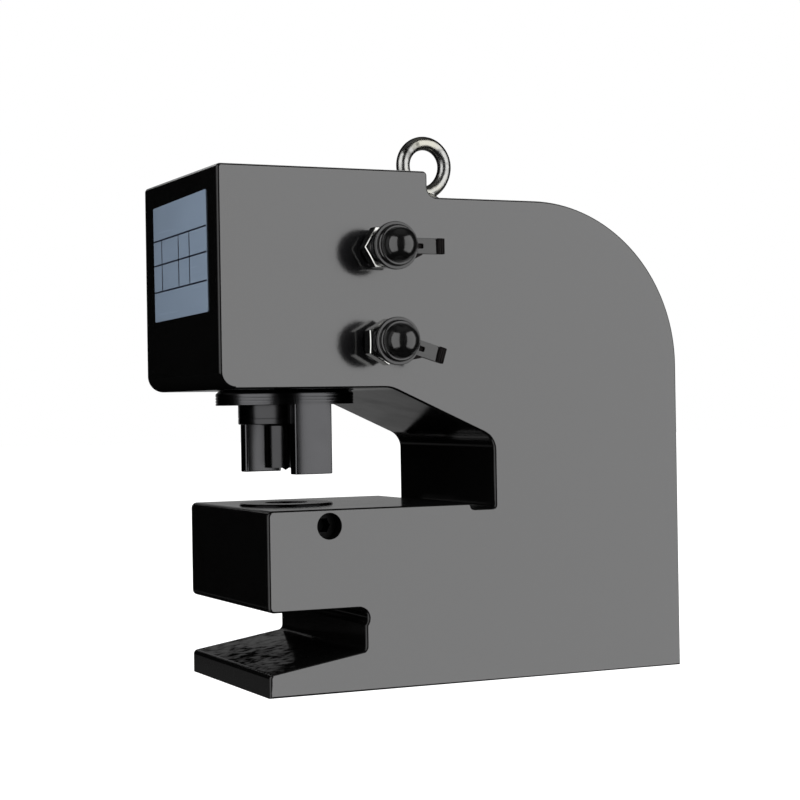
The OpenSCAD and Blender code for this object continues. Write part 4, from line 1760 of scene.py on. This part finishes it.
    def build(self, materials: Materials) -> None:
        """Makes the coupler, its cap and its valve spring, and dresses them.

        Args:
            materials: the built materials.
        """
        node, cap, turn = f"{self.name}_coupler_body", f"{self.name}_dust_cap", self.tab_turn
        hexagon = make_object(
            f"{self.name}_hexagon", self.at_port(self.hexagon(), self.hex_turn), self.hex_sharp_deg
        )
        dress(hexagon, Body.FRAME, Finish.COUPLER, materials, node)
        barrel = make_object(f"{self.name}_barrel", self.at_port(self.barrel()))
        dress(barrel, Body.FRAME, Finish.BLACK_STEEL, materials, node)
        matte = self.grip().joined(self.gusset(), self.slot_floor())
        for part, surface, finish in (
            ("dome", self.at_port(self.cap()), Finish.CAP),
            ("tab", self.at_port(self.tab(), turn), Finish.CAP),
            ("grip", self.at_port(matte, turn), Finish.SEAL),
        ):
            dress(
                make_object(f"{self.name}_cap_{part}", surface),
                self.cap_body,
                finish,
                materials,
                cap,
            )
        spring = make_object(f"{self.name}_spring_coil", self.at_port(self.spring()))
        dress(spring, Body.FRAME, Finish.SPRING, materials, f"{self.name}_poppet_spring")
        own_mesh(spring)


COUPLERS = (
    HoseCoupler("upper", Body.UPPER_CAP, height=386.5, out=0.0, hex_turn=30.0, tab_turn=0.0),
    HoseCoupler("lower", Body.LOWER_CAP, height=304.4, out=1.5, hex_turn=0.0, tab_turn=-17.0),
)


@dataclass
class LiftingEye:
    """The forged lifting eye, from its ring down to its shank."""

    x: float = 145.0
    base: float = 434.0
    centre: float = 475.4
    ring_r: float = 21.6
    low_stretch: float = 1.17
    taper: float = 0.1
    bar_r: float = 6.45
    neck_r: float = 7.5
    collar_r: float = 15.0
    collar_t: float = 11.0
    collar_draft: float = 0.2
    collar_rims: Range = (0.3, 1.5)
    flare: float = 3.0
    flare_w: float = 1.5
    flare_r: float = 3.0
    neck_taper: float = 2.0
    stem_arc: float = 12.0
    stem_steps: int = 64
    shank_r: float = 6.0
    shank_l: float = 26.0
    shank_rim_r: float = 1.0
    shank_into: float = 1.0
    shank_steps: int = 48
    voxel: float = 0.7
    ring_steps: int = 128
    bar_steps: int = 40
    soften_factor: float = 0.5
    soften_rounds: int = 5
    sharp_deg: float = 60.0

    def ring(self) -> Surface:
        """The ring: a circle carried round a slightly pear-shaped loop in the X-Z plane.

        The loop's point at angle u is R (w cos u, h sin u). Above its centre w = h = 1, and below
        it h is the stretch and w = 1 - taper * sin(u)^2. The circle stands square on the loop.

        Returns:
            The closed surface.
        """
        u = np.linspace(0, 2 * math.pi, self.ring_steps, endpoint=False)
        low = np.sin(u) < 0
        wide = np.where(low, 1 - self.taper * np.sin(u) ** 2, 1.0)
        tall = np.where(low, self.low_stretch, 1.0)
        loop = self.ring_r * np.column_stack([wide * np.cos(u), tall * np.sin(u)])
        along = np.roll(loop, -1, axis=0) - np.roll(loop, 1, axis=0)
        along /= np.linalg.norm(along, axis=1, keepdims=True)
        outward = np.column_stack([along[:, 1], -along[:, 0]])
        v = np.linspace(0, 2 * math.pi, self.bar_steps, endpoint=False)
        flat = loop[:, None] + self.bar_r * np.cos(v)[None, :, None] * outward[:, None]
        across = self.bar_r * np.sin(v)[None] + 0 * flat[..., 0]
        points = np.stack([flat[..., 0], across, flat[..., 1]], axis=-1).reshape(-1, 3)
        faces = grid_faces(self.ring_steps, self.bar_steps, True, True).tolist()
        return Surface(points, faces).placed((self.x, 0, self.centre))

    def stem(self) -> Surface:
        """Collar, flare and neck, up into the ring's bar.

        Returns:
            The closed surface.
        """
        collar_top = self.base + self.collar_t
        top = self.centre - self.ring_r * self.low_stretch
        low_rim, high_rim = self.collar_rims
        corners = [
            (0.0, self.base, 0.0),
            (self.collar_r - self.collar_draft, self.base, low_rim),
            (self.collar_r, collar_top, high_rim),
            (self.neck_r + self.flare_w, collar_top + self.flare, self.flare_r),
            (self.neck_r - self.neck_taper, top, 0.0),
            (0.0, top, 0.0),
        ]
        line = rounded(corners, closed=False, step_deg=self.stem_arc)
        return revolve(line, self.stem_steps, False).placed((self.x, 0, 0))

    def forging(self) -> Object:
        """Ring and stem as one forging, its creases softened and its base kept flat.

        Returns:
            The forging.
        """
        forging = make_object("eye_forging", self.ring())
        stem = make_object("eye_stem", self.stem())
        union = forging.modifiers.new("union", "BOOLEAN")
        union.operation = "UNION"
        union.object = stem
        remesh = forging.modifiers.new("remesh", "REMESH")
        remesh.mode = "VOXEL"
        remesh.voxel_size = self.voxel * MM
        soften = forging.modifiers.new("soften", "SMOOTH")
        soften.factor = self.soften_factor
        soften.iterations = self.soften_rounds
        apply_modifiers(forging)
        bpy.data.objects.remove(stem)
        co = np.zeros(len(forging.data.vertices) * 3)
        forging.data.vertices.foreach_get("co", co)
        co[2::3] = np.maximum(co[2::3], self.base * MM)
        forging.data.vertices.foreach_set("co", co)
        smooth_by_angle(forging, self.sharp_deg)
        return forging

    def build(self, materials: Materials) -> None:
        """Makes the forging and its shank and dresses both.

        Args:
            materials: the built materials.
        """
        dress(self.forging(), Body.FRAME, Finish.ZINC, materials, "eye_bolt")
        low, high, radius = self.base - self.shank_l, self.base + self.shank_into, self.shank_r
        corners = [
            (0.0, low, 0.0), (radius, low, self.shank_rim_r), (radius, high, 0.0), (0.0, high, 0.0)
        ]
        line = rounded(corners, closed=False, step_deg=EDGE_ARC)
        shank = revolve(line, self.shank_steps, False)
        obj = make_object("eye_shank", shank.placed((self.x, 0, 0)))
        dress(obj, Body.FRAME, Finish.ZINC, materials, "eye_bolt")


@dataclass
class DataPlate:
    """The printed plate on the head's front: a ruled table with empty cells."""

    front: float = -98.4
    thickness: float = 0.75
    centre_y: float = -1.5
    centre_z: float = 383.4
    width: float = 147.5
    height: float = 105.5
    tilt_deg: float = -1.0
    corner_r: float = 2.0
    sheet_rim: float = 0.15
    ink_rise: float = 0.05
    row_w: float = 1.5
    column_w: float = 2.2
    row_heights: tuple[float, ...] = (21.5, -0.9, -25.6)
    column_places: tuple[float, ...] = (50.0, 2.5, -27.5)
    edge_gap: float = 0.4

    def sheet(self) -> Surface:
        """The plate's own sheet, with rounded corners.

        Returns:
            The closed surface.
        """
        y, z, radius = self.width / 2, self.height / 2, self.corner_r
        corners = [(-y, -z, radius), (y, -z, radius), (y, z, radius), (-y, z, radius)]
        return self.on_front(prism(rounded(corners), 0.0, self.thickness, self.sheet_rim, 2), 0.0)

    def on_front(self, flat: Surface, rise: float) -> Surface:
        """Stands a flat prism on the head's front, turned with the plate.

        Args:
            flat: a prism whose X runs along the plate's width and whose Y runs up it.
            rise: how far it stands off the head.

        Returns:
            The surface in place, its thickness forwards.
        """
        a, b, c = flat.placed((0, 0, 0), turn_deg=self.tilt_deg).points.T
        places = np.column_stack([self.front - rise - c, self.centre_y + a, self.centre_z + b])
        return Surface(places, flat.faces)

    def bar(self, y_from: float, y_to: float, z_from: float, z_to: float) -> Surface:
        """One inked line.

        Args:
            y_from: where it starts across the plate, from its centre.
            y_to: where it ends.
            z_from: how high it starts.
            z_to: how high it ends.

        Returns:
            The closed surface.
        """
        outline = np.array([[y_from, z_from], [y_to, z_from], [y_to, z_to], [y_from, z_to]])
        flat = prism(outline, 0.0, self.ink_rise * 2, self.ink_rise / 2, 1)
        return self.on_front(flat, self.thickness - self.ink_rise)

    def ruling(self) -> Surface:
        """The ruled lines: the rows, and the columns between the first row line and the last.

        Returns:
            The closed surfaces of all lines.
        """
        reach = self.width / 2 - self.edge_gap
        row, column = self.row_w / 2, self.column_w / 2
        top, bottom = self.row_heights[0], self.row_heights[-1]
        first, *rest = [self.bar(-reach, reach, z - row, z + row) for z in self.row_heights]
        rest += [self.bar(y - column, y + column, bottom, top) for y in self.column_places]
        return first.joined(*rest)

    def build(self, materials: Materials, ink: Material) -> None:
        """Makes sheet and ruling, and dresses them.

        Args:
            materials: the built materials.
            ink: the ruling's ink.
        """
        sheet = make_object("plate_sheet_body", self.sheet())
        dress(sheet, Body.FRAME, Finish.PLATE, materials, "data_plate")
        lines = make_object("plate_ruling", self.ruling())
        dress(lines, Body.FRAME, Finish.PLATE, materials)
        lines.data.materials[0] = ink


# The set screw: blackened steel, made near-black and matte beyond that as painted shade of the hole
# it sits in.
HOLE_SHADE_SCREW_NODE = "die_set_screw"
BLACKENING_AND_HOLE_SHADE = BaseFinish((0.004, 0.004, 0.004), 0.6, ior=1.25)
DIE_STEEL = GroundTop((0.05, 0.05, 0.052), 0.25, metallic=1.0)
CAD_FINISHES: dict[str, Finish] = {
    "gland_nut": Finish.BLACK_STEEL,
    "gland_o_ring": Finish.SEAL,
    "rod_seal": Finish.SEAL,
    "rod_guide_ring": Finish.BRONZE,
    "rod_wiper": Finish.SEAL,
    "piston": Finish.MACHINED,
    "piston_seal": Finish.SEAL,
    "piston_wear_ring": Finish.BRONZE,
    "piston_nut": Finish.MACHINED,
    "ram": Finish.POLISHED,
    "die_set_screw": Finish.TOOL_STEEL,
    "port_washers": Finish.BLACK_STEEL,
    "upper_adapter": Finish.BLACK_STEEL,
    "lower_adapter": Finish.BLACK_STEEL,
    "upper_poppet": Finish.MACHINED,
    "lower_poppet": Finish.MACHINED,
}


def dress_cad_nodes(nodes: dict[str, Object], materials: Materials, screw_black_and_hole_shade: Material) -> None:
    """Gives the CAD nodes that stay their finishes, and the die's set screw a near-black one:
    blackened steel, darkened further as painted shade of its hole.

    Args:
        nodes: the CAD nodes, by name.
        materials: the built materials.
        screw_black_and_hole_shade: the set screw's material.
    """
    for name, finish in CAD_FINISHES.items():
        slots = nodes[name].data.materials
        slots.clear()
        # The set screw's near-black is partly blackened steel and partly painted shade of its hole.
        slots.append(screw_black_and_hole_shade if name == HOLE_SHADE_SCREW_NODE else materials[finish])
        log.info("%s keeps its CAD shape", name)


# Name, azimuth, width in degrees, lower and upper edge, level
Softboxes = tuple[tuple[str, float, float, float, float, float], ...]
STUDIO_LIGHTS: Softboxes = (
    ("right_softbox", 35.5, 61.0, -2600.0, 3400.0, 2.75),
    ("left_softbox", -72.5, 57.0, -2600.0, 3400.0, 2.75),
    ("backdrop_glow", 157.0, 54.0, -250.0, 1200.0, 0.27),
    ("low_glow", 157.0, 54.0, -900.0, -250.0, 0.2),
    ("floor_bounce", -155.0, 40.0, -560.0, -340.0, 0.085),
)
PLATE_LIGHTS: Softboxes = (
    ("rear_high", 150.0, 80.0, 1650.0, 5400.0, 1.3),
    ("rear_side", 112.0, 44.0, -2400.0, 2400.0, 0.7),
    ("far_left", -118.0, 36.0, -2400.0, 2400.0, 0.5),
    ("front_low", -155.0, 60.0, -3900.0, -1625.0, 0.7),
)


@dataclass
class Studio:
    """Floor, lights and camera."""

    camera_place: Triple = (-636.96, -1615.72, 247.30)
    yaw_deg: float = 25.001
    pitch_deg: float = 0.225
    roll_deg: float = -0.914
    focal_px: float = 1883.54
    image_px: float = 800.0
    sensor_mm: float = 36.0
    zoom: float = 1.006
    clip_end: float = 100.0
    reach: float = 3000.0
    overhead_place: Triple = (300.0, -1200.0, 4300.0)
    overhead_aim: Triple = (100.0, 0.0, 200.0)
    overhead_size: Range = (2400.0, 1600.0)
    overhead_level: float = 2.2
    floor_half: float = 12000.0
    floor_tone: float = 0.5
    floor_glow: float = 1.0
    ambient: float = 0.3
    zenith_level: float = 0.15
    zenith_range: Range = (0.8, 0.97)

    def camera(self) -> None:
        """Puts the camera where the photograph was taken from."""
        yaw, pitch, roll = (math.radians(a) for a in (self.yaw_deg, self.pitch_deg, self.roll_deg))
        forward = Vector(
            (math.sin(yaw) * math.cos(pitch), math.cos(yaw) * math.cos(pitch), math.sin(pitch))
        )
        right = forward.cross(Vector((0, 0, 1))).normalized()
        up = right.cross(forward)
        across = math.cos(roll) * right + math.sin(roll) * up
        above = math.cos(roll) * up - math.sin(roll) * right
        data = bpy.data.cameras.new("camera")
        data.sensor_width = self.sensor_mm
        data.lens = self.zoom * self.focal_px * self.sensor_mm / self.image_px
        data.clip_end = self.clip_end
        camera = bpy.data.objects.new("camera", data)
        bpy.context.scene.collection.objects.link(camera)
        turn = Matrix((across, above, -forward)).transposed().to_4x4()
        camera.matrix_world = Matrix.Translation(Vector(self.camera_place) * MM) @ turn
        bpy.context.scene.camera = camera

    def softbox(
        self, name: str, azimuth: float, width_deg: float, low: float, high: float, level: float
    ) -> Object:
        """An upright area light at a view azimuth, facing the object.

        Args:
            name: the light's name.
            azimuth: the direction that it stands in, 0 in front of the couplers' side.
            width_deg: the angle that it fills sideways.
            low: height of its lower edge.
            high: height of its upper edge.
            level: its brightness, 1 being white.

        Returns:
            The light.
        """
        turn = math.radians(azimuth)
        way = Vector((math.sin(turn), -math.cos(turn), 0))
        wide = 2 * self.reach * math.tan(math.radians(width_deg / 2)) * MM
        tall = (high - low) * MM
        place = way * self.reach * MM + Vector((0, 0, (low + high) / 2 * MM))
        return self.area_light(name, place, -way, wide, tall, level)

    @staticmethod
    def area_light(
        name: str, place: Vector, facing: Vector, wide: float, tall: float, level: float
    ) -> Object:
        """An area light whose power gives a brightness: power = pi * level * area.

        Args:
            name: the light's name.
            place: its centre in metres.
            facing: the direction that it shines in.
            wide: its width in metres.
            tall: its height in metres.
            level: its brightness, 1 being white.

        Returns:
            The light.
        """
        data = bpy.data.lights.new(name, "AREA")
        data.shape = "RECTANGLE"
        data.size, data.size_y = wide, tall
        data.energy = math.pi * level * wide * tall
        light = bpy.data.objects.new(name, data)
        turn = facing.to_track_quat("-Z", "Y").to_matrix().to_4x4()
        light.matrix_world = Matrix.Translation(place) @ turn
        light.visible_camera = False
        bpy.context.scene.collection.objects.link(light)
        return light

    def plate_lights(self, plate: Object) -> None:
        """Soft lights behind and above that reach the frame plate alone, so its form shows there.

        Args:
            plate: the frame plate.
        """
        only = bpy.data.collections.new("plate_only")
        only.objects.link(plate)
        for name, azimuth, width, low, high, level in PLATE_LIGHTS:
            light = self.softbox(name, azimuth, width, low, high, level)
            light.light_linking.receiver_collection = only

    def floor(self) -> None:
        """A pale floor that looks white, keeps the object's shadow and isn't mirrored in it."""
        half = self.floor_half
        corners = np.array(
            [[-half, -half, 0], [half, -half, 0], [half, half, 0], [-half, half, 0]], float
        )
        floor = make_object("floor", Surface(corners, [[0, 1, 2, 3]]))
        material, shader, principled = new_material("floor")
        output = material.node_tree.nodes["Material Output"]
        material.node_tree.nodes.remove(principled)
        pale = shader.add("ShaderNodeBsdfDiffuse")
        pale.inputs["Color"].default_value = (
            self.floor_tone, self.floor_tone, self.floor_tone, 1.0
        )
        rays = shader.add("ShaderNodeLightPath")
        glow = shader.add("ShaderNodeEmission")
        seen = shader.math("MULTIPLY", rays.outputs["Is Camera Ray"], self.floor_glow)
        shader.join(seen, glow.inputs["Strength"])
        both = shader.add("ShaderNodeAddShader")
        shader.join(pale.outputs[0], both.inputs[0])
        shader.join(glow.outputs[0], both.inputs[1])
        shader.join(both.outputs[0], output.inputs["Surface"])
        floor.data.materials.append(material)
        floor.visible_glossy = False

    def world(self) -> None:
        """White to the camera, dim to diffuse light, and in reflections dark below the zenith."""
        world = bpy.data.worlds.new("studio")
        world.use_nodes = True
        bpy.context.scene.world = world
        shader = Shader(world.node_tree)
        background = world.node_tree.nodes["Background"]
        rays = shader.add("ShaderNodeLightPath")
        up = shader.split(shader.add("ShaderNodeTexCoord").outputs["Generated"])["Z"]
        zenith = shader.math(
            "SUBTRACT", shader.spread(up, *self.zenith_range, 0.0, self.zenith_level), self.ambient
        )
        mirrored = shader.math("MULTIPLY", rays.outputs["Is Glossy Ray"], zenith)
        seen = shader.math("MULTIPLY", rays.outputs["Is Camera Ray"], 1.0 - self.ambient)
        total = shader.math("ADD", shader.math("ADD", mirrored, seen), self.ambient)
        shader.join(total, background.inputs["Strength"])
        background.inputs["Color"].default_value = (1.0, 1.0, 1.0, 1.0)

    def build(self) -> None:
        """Builds the camera, lights, floor and world."""
        self.camera()
        for light in STUDIO_LIGHTS:
            self.softbox(*light)
        place = Vector(self.overhead_place) * MM
        facing = Vector(self.overhead_aim) * MM - place
        wide, tall = (size * MM for size in self.overhead_size)
        overhead = self.area_light("overhead", place, facing, wide, tall, self.overhead_level)
        overhead.visible_glossy = False
        self.floor()
        self.world()
        bpy.context.scene.view_settings.view_transform = "Standard"
        log.info("studio is set")


def main() -> None:
    """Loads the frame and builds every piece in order."""
    logging.basicConfig(level=logging.INFO, format="%(name)s: %(message)s")
    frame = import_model()
    studio = Studio()
    studio.build()
    effects = SharedEffects()
    materials = build_materials(effects)
    studio.plate_lights(FramePlate().build(materials))
    PressTools().build(materials, DIE_STEEL.build("die_steel", effects))
    for coupler in COUPLERS:
        coupler.build(materials)
    LiftingEye().build(materials)
    DataPlate().build(materials, RulingInk().build("plate_ink"))
    dress_cad_nodes(frame["nodes"], materials, BLACKENING_AND_HOLE_SHADE.build("blackened_steel_and_hole_shade", effects))


if __name__ == "__main__":
    main()
